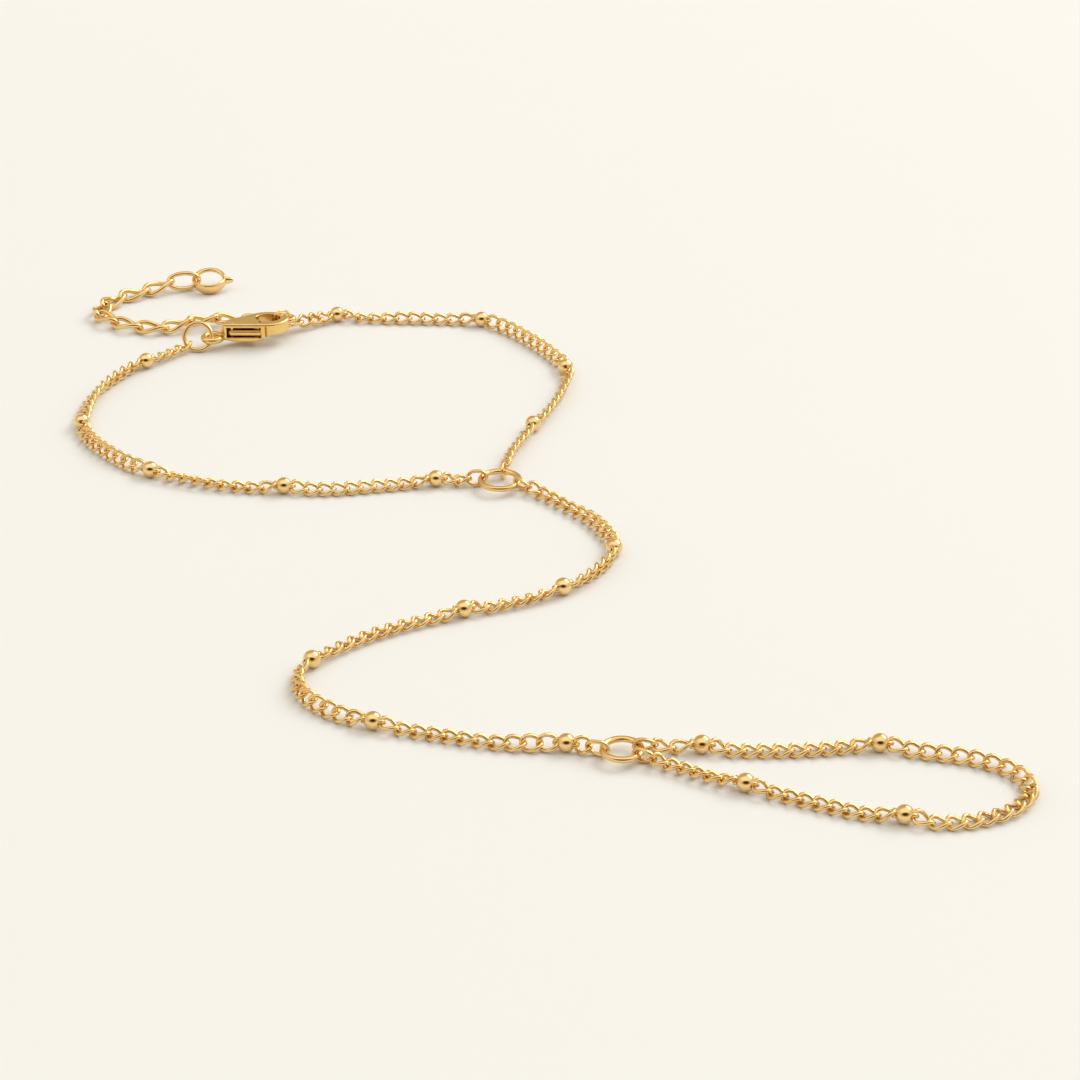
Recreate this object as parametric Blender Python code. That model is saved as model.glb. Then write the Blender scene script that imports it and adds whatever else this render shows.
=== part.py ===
"""A hand chain that lies loose on a table: a wrist bracelet with a lobster clasp and an extension
chain, a strand over the back of the hand, and a loop for one finger.

The wrist loop is two halves that meet at a jump ring, the hand strand runs from that ring to a second
one, and the finger loop starts and ends there. All the strands are one fine curb chain with round
drilled beads threaded on it. Lengths here are millimetres, and are turned into metres where a mesh is
made. The floor is Z = 0.
"""
import math

import bmesh
import bpy
import numpy as np
from mathutils import Matrix, Vector

# Driving dimensions, in millimetres
LINK_PITCH = 1.6
LINK_WIRE = 0.36
LINK_WIDTH = 1.96
BEAD_DIAMETER = 1.85
BEAD_BORE = 1.1
STEM_WIDTH = 0.76
STRAND_TUBE = 1.5
STRAND_NECK = 0.66

RING_B_DIAMETER = 5.2
RING_C_DIAMETER = 4.6
JUNCTION_WIRE = 0.68
RING_A_DIAMETER = 3.75
RING_A_WIRE = 0.5

COARSE_PITCH = 3.4
COARSE_WIRE = 0.52
COARSE_WIDTH = 2.5
HOOK_LINK_WIRE = 0.45
HOOK_LINK_ROOM = 1.1
HOOK_LINK_DROP = 0.5
END_RING_DIAMETER = 4.6
END_RING_WIRE = 0.6
END_RING_FLANGE = 1.25
TAIL_LENGTH = 1.2
TAIL_ROOT = 0.54
TAIL_TIP = 0.16

CLASP_LENGTH = 8.5
CLASP_BROAD = 4.0
CLASP_HEIGHT = 2.35
HOOK_UNDERCUT = 0.75
UNDERCUT_START = 4.2
UNDERCUT_END = 6.2
HOOK_OPENING_LENGTH = 3.1
HOOK_OPENING_WIDTH = 2.2
HOOK_RIM_END = 1.15
HOOK_RIM_FRONT = 1.05
SLOT_HEIGHT = 1.35
SLOT_START = 0.45
MOUTH_WIDTH = 0.9
MOUTH_END = 5.4
EYELET_DIAMETER = 3.0
EYELET_WIRE = 0.84
NECK_DEPTH = 1.15
NECK_SLOPE = 0.2
PIVOT_PIN = 0.4
PIVOT_WALL = 0.22
PIN_RECESS = 0.05
LEVER_BAR_HEIGHT = 0.8
LEVER_BAR_DEPTH = 0.8
LEVER_HEAD_HEIGHT = 1.7
LEVER_SWING = 20

# Clearances, in millimetres
SOLDER = 0.1
RUNNING_GAP = 0.12
FIT_GAP = 0.1
FLOOR_GAP = 0.02
TUBE_END_GAP = 0.15
HEAD_PROUD = 0.02
EDGE_INSET = 0.1

# How finely round forms are faceted
LINK_SIDES = 10
WIRE_SIDES = 5
BEAD_SIDES = 12
BEAD_BANDS = 5
RING_SIDES = 14
RING_WIRE_SIDES = 6
EYELET_SIDES = 8
OPENING_SIDES = 16
BORE_SIDES = 12
TAIL_SIDES = 6
ARC_STEPS = 7

# How a link is twisted: the two ends of a curb link are turned this far from its flat middle
CURB_TWIST = math.radians(45)
# An end link is longer than the others by this share, and a stem link's eye reaches this far past
# the bead, in wire radii
END_LINK_STRETCH = 1.28
STEM_OVERHANG = 1.4
# A strand's tube is necked over this share of each bead, and tapers back to full size over a length
NECK_SHARE = 0.8
NECK_TAPER = 0.6
# The mouth and the slot are cut a little wider than the lever swings
MOUTH_SWING_ROOM = 1.3
SLOT_SWING_ROOM = 1.15

# Places of the rings and the clasp, in millimetres
RING_A_CENTRE = (-42.85, 51.75, 1.57)
RING_A_TILT = 55
RING_B_CENTRE = (-4.6, 12.8)
RING_C_CENTRE = (8.1, -45.8)
CLASP_PLACE = (-40.0, 51.7, 0.9)
EYELET_OFFSET = (-1.35, 0.0, 0.55)
HOOK_LINK_TURN = 45
END_RING_LEAN = 20
RING_A_LINK_TURN = 57

# Where each strand's end link sits on its ring, as an angle seen from above
SEAT_WRIST_LEFT = 165
SEAT_WRIST_RIGHT = 82
SEAT_HAND_START = -16
SEAT_HAND_END = 178
SEAT_FINGER_START = 24
SEAT_FINGER_END = -30
SEAT_RING_A = 220

# The hand-chosen route of each chain, seen from above, in millimetres. The columns are x, y, how far
# the chain is lifted off the floor, how far it is rolled about its own length in degrees, and
# whether a bead is threaded there. The end points at the rings are worked out from the rings.
ROUTES = {
    "wrist_left": (
        (-47.3, 47.6, 0.1, 20, False), (-49.1, 45.8, 0, 35, True), (-50.6, 43.9, 0, 60, False),
        (-52.5, 40.6, 0, 70, False), (-54.2, 36.6, 0, 50, False), (-54.9, 32.5, 0, 30, False),
        (-54.8, 28.3, 0, 20, True), (-53.9, 25.0, 0, 40, False), (-51.7, 21.4, 0, 60, False),
        (-48.4, 17.8, 0, 50, False), (-45.2, 15.6, 0, 10, True), (-41.4, 13.9, 0, -25, False),
        (-36.5, 12.3, 0, -10, False), (-29.4, 11.5, 0, 10, True), (-24.1, 11.2, 0, 15, False),
        (-18.4, 12.2, 0, 10, False), (-12.0, 13.3, 0, 0, True),
    ),
    "wrist_right": (
        (-29.8, 57.7, 0.5, 30, False), (-27.9, 59.2, 0.1, 20, False), (-26.1, 60.1, 0, 0, True),
        (-22.9, 59.8, 0, -10, False), (-17.5, 59.5, 0, 20, False), (-12.5, 59.3, 0, 10, False),
        (-7.5, 58.5, 0, 30, True), (-4.8, 56.6, 0, 50, False), (-1.2, 52.1, 0, 60, False),
        (1.7, 47.6, 0, 40, False), (3.2, 44.0, 0, 20, True), (3.3, 41.0, 0, 50, False),
        (2.6, 36.8, 0, 70, False), (1.1, 32.1, 0, 50, False), (-0.8, 27.8, 0, 30, True),
        (-2.2, 23.9, 0, 50, False), (-3.5, 19.8, 0.1, 60, False),
    ),
    "hand": (
        (0.2, 10.2, 0, 10, False), (3.0, 7.2, 0, 0, False), (5.9, 3.5, 0, 20, False),
        (8.2, -3.5, 0, 60, True), (7.3, -6.9, 0, 80, False), (5.1, -10.2, 0, 60, False),
        (2.5, -12.5, 0, 30, True), (-1.8, -15.0, 0, 20, False), (-8.1, -17.4, 0, 0, True),
        (-13.2, -19.7, 0, 10, False), (-18.7, -23.1, 0, 10, False), (-23.6, -28.1, 0, 30, True),
        (-24.9, -31.2, 0, 60, False), (-24.1, -35.1, 0, 60, False), (-20.8, -38.4, 0, 40, False),
        (-16.7, -40.3, 0, 0, True), (-11.5, -41.9, 0, 0, False), (-5.0, -43.7, 0, 0, False),
        (-0.9, -44.4, 0, 40, False), (2.6, -44.5, 0, 60, True),
    ),
    "finger": (
        (12.8, -44.7, 0, 0, False), (16.0, -44.8, 0, 0, True), (19.0, -45.2, 0, 0, False),
        (25.3, -45.2, 0, 0, False), (33.6, -44.5, 0, 0, True), (37.9, -45.7, 0, 20, False),
        (42.8, -47.0, 0, 20, False), (46.4, -49.5, 0, 20, False), (47.4, -52.3, 0, 20, False),
        (45.7, -55.7, 0, 15, False), (41.5, -57.8, 0, 0, False), (37.7, -58.2, 0, 0, False),
        (34.7, -57.4, 0, 0, True), (30.9, -56.6, 0, 0, False), (25.5, -54.3, 0, 0, False),
        (19.9, -51.8, 0, 10, True), (16.4, -50.2, 0, 20, False), (13.2, -48.2, 0, 10, False),
    ),
    "extension": (
        (-35.6, 58.4, 0.1, 0, False), (-39.0, 58.5, 0.1, 0, False), (-43.2, 57.9, 0.5, 20, False),
        (-46.9, 56.3, 0.1, 0, False), (-50.3, 56.4, 0, 0, False), (-54.2, 57.8, 0, 10, False),
        (-56.7, 60.0, 0, 10, False), (-56.7, 62.9, 0, 0, False), (-55.0, 65.9, 0, 0, False),
        (-50.6, 68.7, 0, 0, False), (-47.2, 70.2, 0, 0, False), (-43.55, 70.4, 0, 0, False),
    ),
}

# Outline of the clasp seen from above, as shares of its length and of its broadest width
CLASP_OUTLINE = (
    (0.00, 0.03), (0.02, 0.00), (0.68, 0.00), (0.80, 0.06), (0.91, 0.19), (0.98, 0.38), (1.00, 0.56),
    (0.96, 0.75), (0.88, 0.89), (0.77, 0.97), (0.65, 1.00), (0.52, 0.95), (0.36, 0.78), (0.20, 0.58),
    (0.08, 0.42), (0.01, 0.24),
)

MM = 0.001
BEAD_RADIUS = BEAD_DIAMETER / 2
BORE_RADIUS = BEAD_BORE / 2
WIRE_RADIUS = LINK_WIRE / 2
JUNCTION_RADIUS = JUNCTION_WIRE / 2
COARSE_RADIUS = COARSE_WIRE / 2
LINK_HALF = (LINK_WIDTH - LINK_WIRE) / 2
COARSE_HALF = (COARSE_WIDTH - COARSE_WIRE) / 2
# Two soldered bows lie back to back, with this much from one wire's centre to the other's
BOW_STEP = 2 * WIRE_RADIUS * math.cos(math.pi / WIRE_SIDES) + SOLDER
STEM_REACH = BEAD_RADIUS + STEM_OVERHANG * WIRE_RADIUS
STEM_HALF = (STEM_WIDTH - LINK_WIRE) / 2
END_LINK_SPAN = END_LINK_STRETCH * LINK_PITCH
RING_REACH = JUNCTION_RADIUS + WIRE_RADIUS + FIT_GAP
JUNCTION_HEIGHT = max(LINK_WIDTH / 2, LINK_WIRE + JUNCTION_RADIUS + FIT_GAP) + FLOOR_GAP
END_RING_RADIUS = (END_RING_DIAMETER - END_RING_WIRE) / 2
END_RING_TURN = math.radians(END_RING_LEAN)
END_RING_DEPTH = END_RING_RADIUS * math.sin(END_RING_TURN) + END_RING_FLANGE / 2 * math.cos(END_RING_TURN)
END_RING_HEIGHT = max(COARSE_WIDTH / 2, END_RING_DEPTH) + FLOOR_GAP
PLATE = (CLASP_HEIGHT - SLOT_HEIGHT) / 2
KNUCKLE = PIVOT_PIN / 2 + FIT_GAP + PIVOT_WALL
MOUTH_START = MOUTH_END - MOUTH_WIDTH


def clear_scene():
    """Takes away whatever the file already holds."""
    for item in list(bpy.data.objects):
        bpy.data.objects.remove(item, do_unlink=True)


def metal(name, colour, roughness):
    """A plain metal of one colour."""
    material = bpy.data.materials.new(name)
    material.use_nodes = True
    shader = material.node_tree.nodes["Principled BSDF"]
    shader.inputs["Base Color"].default_value = (*colour, 1.0)
    shader.inputs["Metallic"].default_value = 1.0
    shader.inputs["Roughness"].default_value = roughness
    return material


def add_object(name, vertices, faces, material, smooth=True):
    """Makes one named object from vertices in millimetres."""
    mesh = bpy.data.meshes.new(name)
    mesh.from_pydata([tuple(float(c) * MM for c in v) for v in vertices], [], faces)
    mesh.validate()
    body = bmesh.new()
    body.from_mesh(mesh)
    bmesh.ops.recalc_face_normals(body, faces=body.faces)
    body.to_mesh(mesh)
    body.free()
    if smooth:
        mesh.shade_smooth()
        mesh.set_sharp_from_angle(angle=math.radians(50))
    mesh.materials.append(material)
    item = bpy.data.objects.new(name, mesh)
    bpy.context.scene.collection.objects.link(item)
    return item


def unit(vector):
    """The vector at length one."""
    return np.asarray(vector, float) / np.linalg.norm(vector)


def wire_loop(centres, radial, radii, sides):
    """Rings of points around a closed wire: one ring for each centre, first point outwards."""
    ahead = np.roll(centres, -1, axis=0) - np.roll(centres, 1, axis=0)
    along = ahead / np.linalg.norm(ahead, axis=1)[:, None]
    out = radial - (radial * along).sum(1)[:, None] * along
    out /= np.linalg.norm(out, axis=1)[:, None]
    side = np.cross(along, out)
    angles = 2 * math.pi * np.arange(sides) / sides
    radii = np.broadcast_to(np.asarray(radii, float), (len(centres), 2))
    ring = (
        centres[:, None]
        + radii[:, :1, None] * np.cos(angles)[None, :, None] * out[:, None]
        + radii[:, 1:, None] * np.sin(angles)[None, :, None] * side[:, None]
    )
    return ring


def loop_faces(count, sides, base=0, skip=()):
    """Quads between the rings of a closed wire, apart from those listed in skip."""
    faces = []
    for i in range(count):
        for j in range(sides):
            if (i, j) in skip:
                continue
            here = base + i * sides
            ahead = base + (i + 1) % count * sides
            turn = (j + 1) % sides
            faces.append((here + j, ahead + j, ahead + turn, here + turn))
    return faces


def oval_shape(reach, half, sides):
    """Corner points of an oval link: along it and across it, with a flat facet at each end."""
    angles = 2 * math.pi * (np.arange(sides) + 0.5) / sides
    long_half = reach / math.cos(math.pi / sides)
    return np.stack([long_half * np.cos(angles), half * np.sin(angles)], axis=1)


def stem_shape(reach, half):
    """Corner points of the pinched link that a bead is threaded on: an eye at each end."""
    mouth = math.sqrt(BEAD_RADIUS ** 2 - BORE_RADIUS ** 2)
    eye = 2 * WIRE_RADIUS
    quarter = [(reach, 0.9 * WIRE_RADIUS), ((reach + mouth + WIRE_RADIUS) / 2, eye), (0.8 * mouth, half)]
    top = quarter + [(-x, y) for x, y in reversed(quarter)]
    return np.array(top + [(x, -y) for x, y in reversed(top)])


def twisted_link(shape, centre, along, up, turn_left, turn_right, radius, sides):
    """Rings of points of one link, turned evenly from one end's angle to the other's."""
    reach = shape[:, 0].max()
    share = (shape[:, 0] + reach) / (2 * reach)
    turn = turn_left + (turn_right - turn_left) * share
    across = np.cross(up, along)
    spread = np.cos(turn)[:, None] * across + np.sin(turn)[:, None] * up
    centres = centre + shape[:, :1] * along + shape[:, 1:] * spread
    radial = centres - centre
    return wire_loop(centres, radial, (radius, radius), sides)


def smooth_curve(points, step=0.1):
    """A curve through the points, sampled finely: Catmull-Rom with chord spacing."""
    pts = np.asarray(points, float)
    chord = np.sqrt(np.linalg.norm(np.diff(pts[:, :2], axis=0), axis=1))
    first = pts[0] + (pts[0] - pts[1])
    last = pts[-1] + (pts[-1] - pts[-2])
    full = np.vstack([first, pts, last])
    steps = np.concatenate([chord[:1], chord, chord[-1:]])
    knots = np.concatenate([[0], np.cumsum(steps)])
    rows = []
    for i in range(1, len(full) - 2):
        p0, p1, p2, p3 = full[i - 1:i + 3]
        t0, t1, t2, t3 = knots[i - 1:i + 3]
        count = max(2, int(np.linalg.norm((p2 - p1)[:2]) / step))
        t = np.linspace(t1, t2, count, endpoint=False)[:, None]
        a1 = (t1 - t) / (t1 - t0) * p0 + (t - t0) / (t1 - t0) * p1
        a2 = (t2 - t) / (t2 - t1) * p1 + (t - t1) / (t2 - t1) * p2
        a3 = (t3 - t) / (t3 - t2) * p2 + (t - t2) / (t3 - t2) * p3
        b1 = (t2 - t) / (t2 - t0) * a1 + (t - t0) / (t2 - t0) * a2
        b2 = (t3 - t) / (t3 - t1) * a2 + (t - t1) / (t3 - t1) * a3
        rows.append((t2 - t) / (t2 - t1) * b1 + (t - t1) / (t2 - t1) * b2)
    rows.append(full[-2][None])
    return np.vstack(rows)


def half_height(roll, half, radius):
    """How high the middle of a rolled curb chain lies above the floor."""
    t = np.linspace(0, 2 * math.pi, 90)
    twist = CURB_TWIST * np.cos(t)
    flat = half * np.sin(t) * np.cos(twist)
    rise = half * np.sin(t) * np.sin(twist)
    return np.abs(flat[None] * np.sin(roll)[:, None] + rise[None] * np.cos(roll)[:, None]).max(1) + radius


class Strand:
    """A chain laid along its route: gives a place, a direction and a roll at any length along it."""

    def __init__(self, rows, start, end, half, radius):
        table = [(*start, 0, rows[0][3], False), *rows, (*end, 0, rows[-1][3], False)]
        plan = smooth_curve([(x, y, lift, roll) for x, y, lift, roll, _ in table])
        plan[:, 2] = np.maximum(plan[:, 2], 0)
        steps = np.linalg.norm(np.diff(plan[:, :2], axis=0), axis=1)
        self.length_at = np.concatenate([[0], np.cumsum(steps)])
        self.roll_at = np.radians(plan[:, 3])
        self.flat = plan[:, :2]
        self.length = self.length_at[-1]
        self.beads = [self.nearest(row) for row in table if row[4]]
        self.lift = plan[:, 2]
        self.height = half_height(self.roll_at, half, radius) + self.lift + FLOOR_GAP

    def nearest(self, row):
        """The length along the route at which it passes a point of its table."""
        return self.length_at[np.linalg.norm(self.flat - np.array(row[:2]), axis=1).argmin()]

    def raise_near(self, place, height, near, far):
        """Brings the chain to a height at one place, and back to the floor further off."""
        distance = np.abs(self.length_at - place)
        share = np.clip((far - distance) / (far - near), 0, 1)
        share = share * share * (3 - 2 * share)
        self.height += share * (height - self.height)

    def point(self, length):
        """The place at a length along the route."""
        x = np.interp(length, self.length_at, self.flat[:, 0])
        y = np.interp(length, self.length_at, self.flat[:, 1])
        z = np.interp(length, self.length_at, self.height)
        return np.array([x, y, z])

    def roll(self, length):
        """The roll at a length along the route."""
        return float(np.interp(length, self.length_at, self.roll_at))


def frame_at(start, end):
    """The direction from one joint to the next, and the way that is up beside it."""
    along = unit(end - start)
    up = unit(np.array([0, 0, 1]) - along[2] * along)
    return along, up


def seat(centre, radius, angle):
    """The point of a flat ring's wire at an angle, seen from above."""
    turn = math.radians(angle)
    return (centre[0] + radius * math.cos(turn), centre[1] + radius * math.sin(turn))


def strand_links(strand, start_reach, end_reach):
    """The links of a strand, in order: each is its kind, its two ends and the turn of each end."""
    stem_joint = STEM_REACH - BOW_STEP / 2
    first = END_LINK_SPAN - start_reach
    last = strand.length + end_reach - END_LINK_SPAN
    stops = [(first, None)]
    for place in strand.beads:
        stops.append((place - stem_joint, place + stem_joint))
    stops.append((last, None))
    joints = [(-start_reach, first, "end")]
    for (_, after), (before, _) in zip([(None, first)] + stops[1:-1], stops[1:]):
        count = max(1, round((before - after) / LINK_PITCH))
        edges = np.linspace(after, before, count + 1)
        joints += [(a, b, "plain") for a, b in zip(edges[:-1], edges[1:])]
        if before != last:
            joints.append((before, before + 2 * stem_joint, "stem"))
    joints.append((last, strand.length + end_reach, "end"))
    return joints


def beyond(strand, length, inside):
    """A place on the route, or straight on past either end of it."""
    if length < 0:
        along, _ = frame_at(strand.point(0), strand.point(inside))
        return strand.point(0) + along * length
    if length > strand.length:
        along, _ = frame_at(strand.point(strand.length - inside), strand.point(strand.length))
        return strand.point(strand.length) + along * (length - strand.length)
    return strand.point(length)


def link_rings(strand, row, start_turn, end_turn):
    """Ring points of one link of a strand; an end link is turned to suit what it hangs on."""
    a, b, kind = row
    start = beyond(strand, a, LINK_PITCH)
    end = beyond(strand, b, LINK_PITCH)
    along, up = frame_at(start, end)
    grow_left = BOW_STEP / 2
    grow_right = BOW_STEP / 2
    turn_left = strand.roll(a) + CURB_TWIST
    turn_right = strand.roll(b) - CURB_TWIST
    if kind == "end" and a < 0:
        grow_left = 0
        turn_left = start_turn
    if kind == "end" and b > strand.length:
        grow_right = 0
        turn_right = end_turn
    left = start - along * grow_left
    right = end + along * grow_right
    reach = np.linalg.norm(right - left) / 2
    if kind == "stem":
        shape = stem_shape(reach, STEM_HALF)
    else:
        shape = oval_shape(reach, LINK_HALF, LINK_SIDES)
    centre = (left + right) / 2
    return twisted_link(shape, centre, along, up, turn_left, turn_right, WIRE_RADIUS, WIRE_SIDES)


def bow_quad(rings, right):
    """Ring and side numbers of the inward facet at one end of a link, in order round it."""
    count = len(rings)
    inner = WIRE_SIDES // 2
    first, second = (count - 1, 0) if right else (count // 2 - 1, count // 2)
    return [(first, inner), (second, inner), (second, inner + 1), (first, inner + 1)]


def soldered_chain(name, links, material):
    """Joins links into one body: where two bows meet, their inward facets are bridged."""
    vertices = []
    faces = []
    bases = []
    for index, rings in enumerate(links):
        bases.append(len(vertices))
        vertices += [tuple(p) for p in rings.reshape(-1, 3)]
        skip = []
        if index > 0:
            skip.append((len(rings) // 2 - 1, WIRE_SIDES // 2))
        if index < len(links) - 1:
            skip.append((len(rings) - 1, WIRE_SIDES // 2))
        faces += loop_faces(len(rings), WIRE_SIDES, bases[-1], skip)
    points = np.array(vertices)
    for index in range(len(links) - 1):
        near = [bases[index] + i * WIRE_SIDES + j for i, j in bow_quad(links[index], True)]
        far = [bases[index + 1] + i * WIRE_SIDES + j for i, j in bow_quad(links[index + 1], False)]
        faces += bridge(points, near, far)
    return add_object(name, vertices, faces, material)


def bridge(points, near, far):
    """Four-sided faces between two crossed rectangles of points."""
    axis = unit(points[far].mean(0) - points[near].mean(0))
    middle = points[near + far].mean(0)
    across = unit(points[near[0]] - middle - axis * np.dot(points[near[0]] - middle, axis))
    other = np.cross(axis, across)
    corners = []
    for group, number in [(0, n) for n in near] + [(1, n) for n in far]:
        offset = points[number] - middle
        corners.append((math.atan2(offset @ other, offset @ across), group, number))
    corners.sort()
    while not (corners[0][1] == 0 and corners[1][1] == 0):
        corners = corners[1:] + corners[:1]
    order = [number for _, _, number in corners]
    n0, n1, f0, f1, n2, n3, f2, f3 = order
    return [(n1, n0, f3, f0), (n2, n1, f0, f1), (n3, n2, f1, f2), (n0, n3, f2, f3)]


def strand_tube(name, strand, start, end, material):
    """The plain tube that keeps a strand's place, with a neck where it passes through each bead."""
    neck_end = NECK_SHARE * BEAD_RADIUS
    full_from = neck_end + NECK_TAPER
    stops = [start, end]
    for place in strand.beads:
        stops += [place - full_from, place - neck_end, place + neck_end, place + full_from]
    marks = sorted(stops)
    lengths = []
    for a, b in zip(marks[:-1], marks[1:]):
        parts = max(1, round((b - a) / (2 * STRAND_TUBE)))
        lengths += list(np.linspace(a, b, parts, endpoint=False))
    lengths.append(marks[-1])
    curve = bpy.data.curves.new(name, "CURVE")
    curve.dimensions = "3D"
    curve.bevel_depth = STRAND_TUBE / 2 * MM
    curve.bevel_resolution = 2
    curve.use_fill_caps = True
    spline = curve.splines.new("POLY")
    spline.points.add(len(lengths) - 1)
    for point, length in zip(spline.points, lengths):
        place = strand.point(length)
        necked = min(abs(length - bead) for bead in strand.beads) < neck_end + 0.01
        radius = STRAND_NECK if necked else STRAND_TUBE
        place[2] = max(place[2], radius / 2 + FLOOR_GAP)
        point.co = (*(place * MM), 1.0)
        point.radius = radius / STRAND_TUBE
    curve.materials.append(material)
    item = bpy.data.objects.new(name, curve)
    bpy.context.scene.collection.objects.link(item)
    return item


def bead(name, strand, place, material):
    """A round bead, drilled through, turned to lie along the chain."""
    before = strand.point(place - BEAD_RADIUS)
    after = strand.point(place + BEAD_RADIUS)
    along, up = frame_at(before, after)
    across = np.cross(up, along)
    centre = strand.point(place)
    mouth = math.acos(BORE_RADIUS / BEAD_RADIUS)
    latitudes = np.linspace(-mouth, mouth, BEAD_BANDS + 1)
    profile = [(BEAD_RADIUS * math.sin(t), BEAD_RADIUS * math.cos(t)) for t in latitudes]
    angles = 2 * math.pi * np.arange(BEAD_SIDES) / BEAD_SIDES
    vertices = []
    for x, r in profile:
        for angle in angles:
            vertices.append(centre + along * x + r * (math.cos(angle) * across + math.sin(angle) * up))
    faces = []
    rows = len(profile)
    for i in range(rows):
        for j in range(BEAD_SIDES):
            here = i * BEAD_SIDES
            ahead = (i + 1) % rows * BEAD_SIDES
            turn = (j + 1) % BEAD_SIDES
            faces.append((here + j, here + turn, ahead + turn, ahead + j))
    return add_object(name, vertices, faces, material)


def round_ring(name, centre, outer, wire, normal, material):
    """A jump ring of round wire: its centre, outer diameter, wire and the way its face looks."""
    normal = unit(normal)
    first = unit(np.cross(normal, (0, 1, 0.2)))
    second = np.cross(normal, first)
    angles = 2 * math.pi * (np.arange(RING_SIDES) + 0.5) / RING_SIDES
    radial = np.cos(angles)[:, None] * first + np.sin(angles)[:, None] * second
    centres = np.asarray(centre, float) + (outer - wire) / 2 * radial
    rings = wire_loop(centres, radial, (wire / 2, wire / 2), RING_WIRE_SIDES)
    return add_object(name, rings.reshape(-1, 3), loop_faces(RING_SIDES, RING_WIRE_SIDES), material)


def upright_link(name, centre, out, inner, outer, half, wire, material, squareness=3.0):
    """A standing link with flattened ends: how far it reaches in, out and up from its centre."""
    angles = 2 * math.pi * (np.arange(RING_SIDES) + 0.5) / RING_SIDES
    power = 2 / squareness
    level = np.sign(np.cos(angles)) * np.abs(np.cos(angles)) ** power
    rise = np.sign(np.sin(angles)) * np.abs(np.sin(angles)) ** power
    middle = (outer - inner) / 2
    reach = (outer + inner) / 2
    up = np.array([0, 0, 1.0])
    offset = reach * level[:, None] * out + half * rise[:, None] * up
    rings = wire_loop(centre + middle * out + offset, offset, (wire / 2, wire / 2), WIRE_SIDES)
    return add_object(name, rings.reshape(-1, 3), loop_faces(RING_SIDES, WIRE_SIDES), material)


def clasp_outline():
    """The clasp's outline from above, measured from its own corner."""
    return np.array(CLASP_OUTLINE) * (CLASP_LENGTH, CLASP_BROAD)


def hook_opening_centre():
    """The middle of the hook's opening, measured from the clasp's corner."""
    x = CLASP_LENGTH - HOOK_RIM_END - HOOK_OPENING_LENGTH / 2
    y = HOOK_RIM_FRONT + HOOK_OPENING_WIDTH / 2
    return np.array([x, y])


def hook_rim(out):
    """How far the hook's rim starts and ends from the middle of its opening, in one direction."""
    inner = 1 / math.hypot(2 * out[0] / HOOK_OPENING_LENGTH, 2 * out[1] / HOOK_OPENING_WIDTH)
    middle = hook_opening_centre()
    outline = clasp_outline()
    for a, b in zip(outline, np.roll(outline, -1, axis=0)):
        edge = b - a
        across = out[1] * edge[0] - out[0] * edge[1]
        offset = a - middle
        if abs(across) < 1e-9:
            continue
        reach = (offset[1] * edge[0] - offset[0] * edge[1]) / across
        share = (out[0] * offset[1] - out[1] * offset[0]) / across
        if reach > 0 and 0 <= share <= 1:
            return inner, reach
    return inner, inner


def hook_link_place():
    """Centre of the link in the hook, its outward direction, and its reach inwards and outwards."""
    turn = math.radians(HOOK_LINK_TURN)
    out = np.array([math.cos(turn), math.sin(turn), 0])
    inner, outer = hook_rim(out)
    middle = hook_opening_centre() + out[:2] * (inner + outer) / 2
    height = (HOOK_UNDERCUT + CLASP_HEIGHT - HOOK_LINK_DROP) / 2
    centre = np.array(CLASP_PLACE) + (middle[0], middle[1], height)
    half_rim = (outer - inner) / 2
    inwards = half_rim + FIT_GAP + HOOK_LINK_WIRE / 2
    outwards = half_rim + HOOK_LINK_ROOM + HOOK_LINK_WIRE / 2
    half = (CLASP_HEIGHT - HOOK_UNDERCUT + HOOK_LINK_DROP) / 2 + 2 * FIT_GAP + HOOK_LINK_WIRE / 2
    return centre, out, inwards, outwards, half


def ring_a_point(angle):
    """The centre of ring A's wire at an angle round it: it leans back from the floor."""
    turn = math.radians(angle)
    lean = math.radians(RING_A_TILT)
    radius = (RING_A_DIAMETER - RING_A_WIRE) / 2
    offset = (math.cos(turn), math.sin(turn) * math.cos(lean), math.sin(turn) * math.sin(lean))
    return np.array(RING_A_CENTRE) + radius * np.array(offset)


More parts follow.
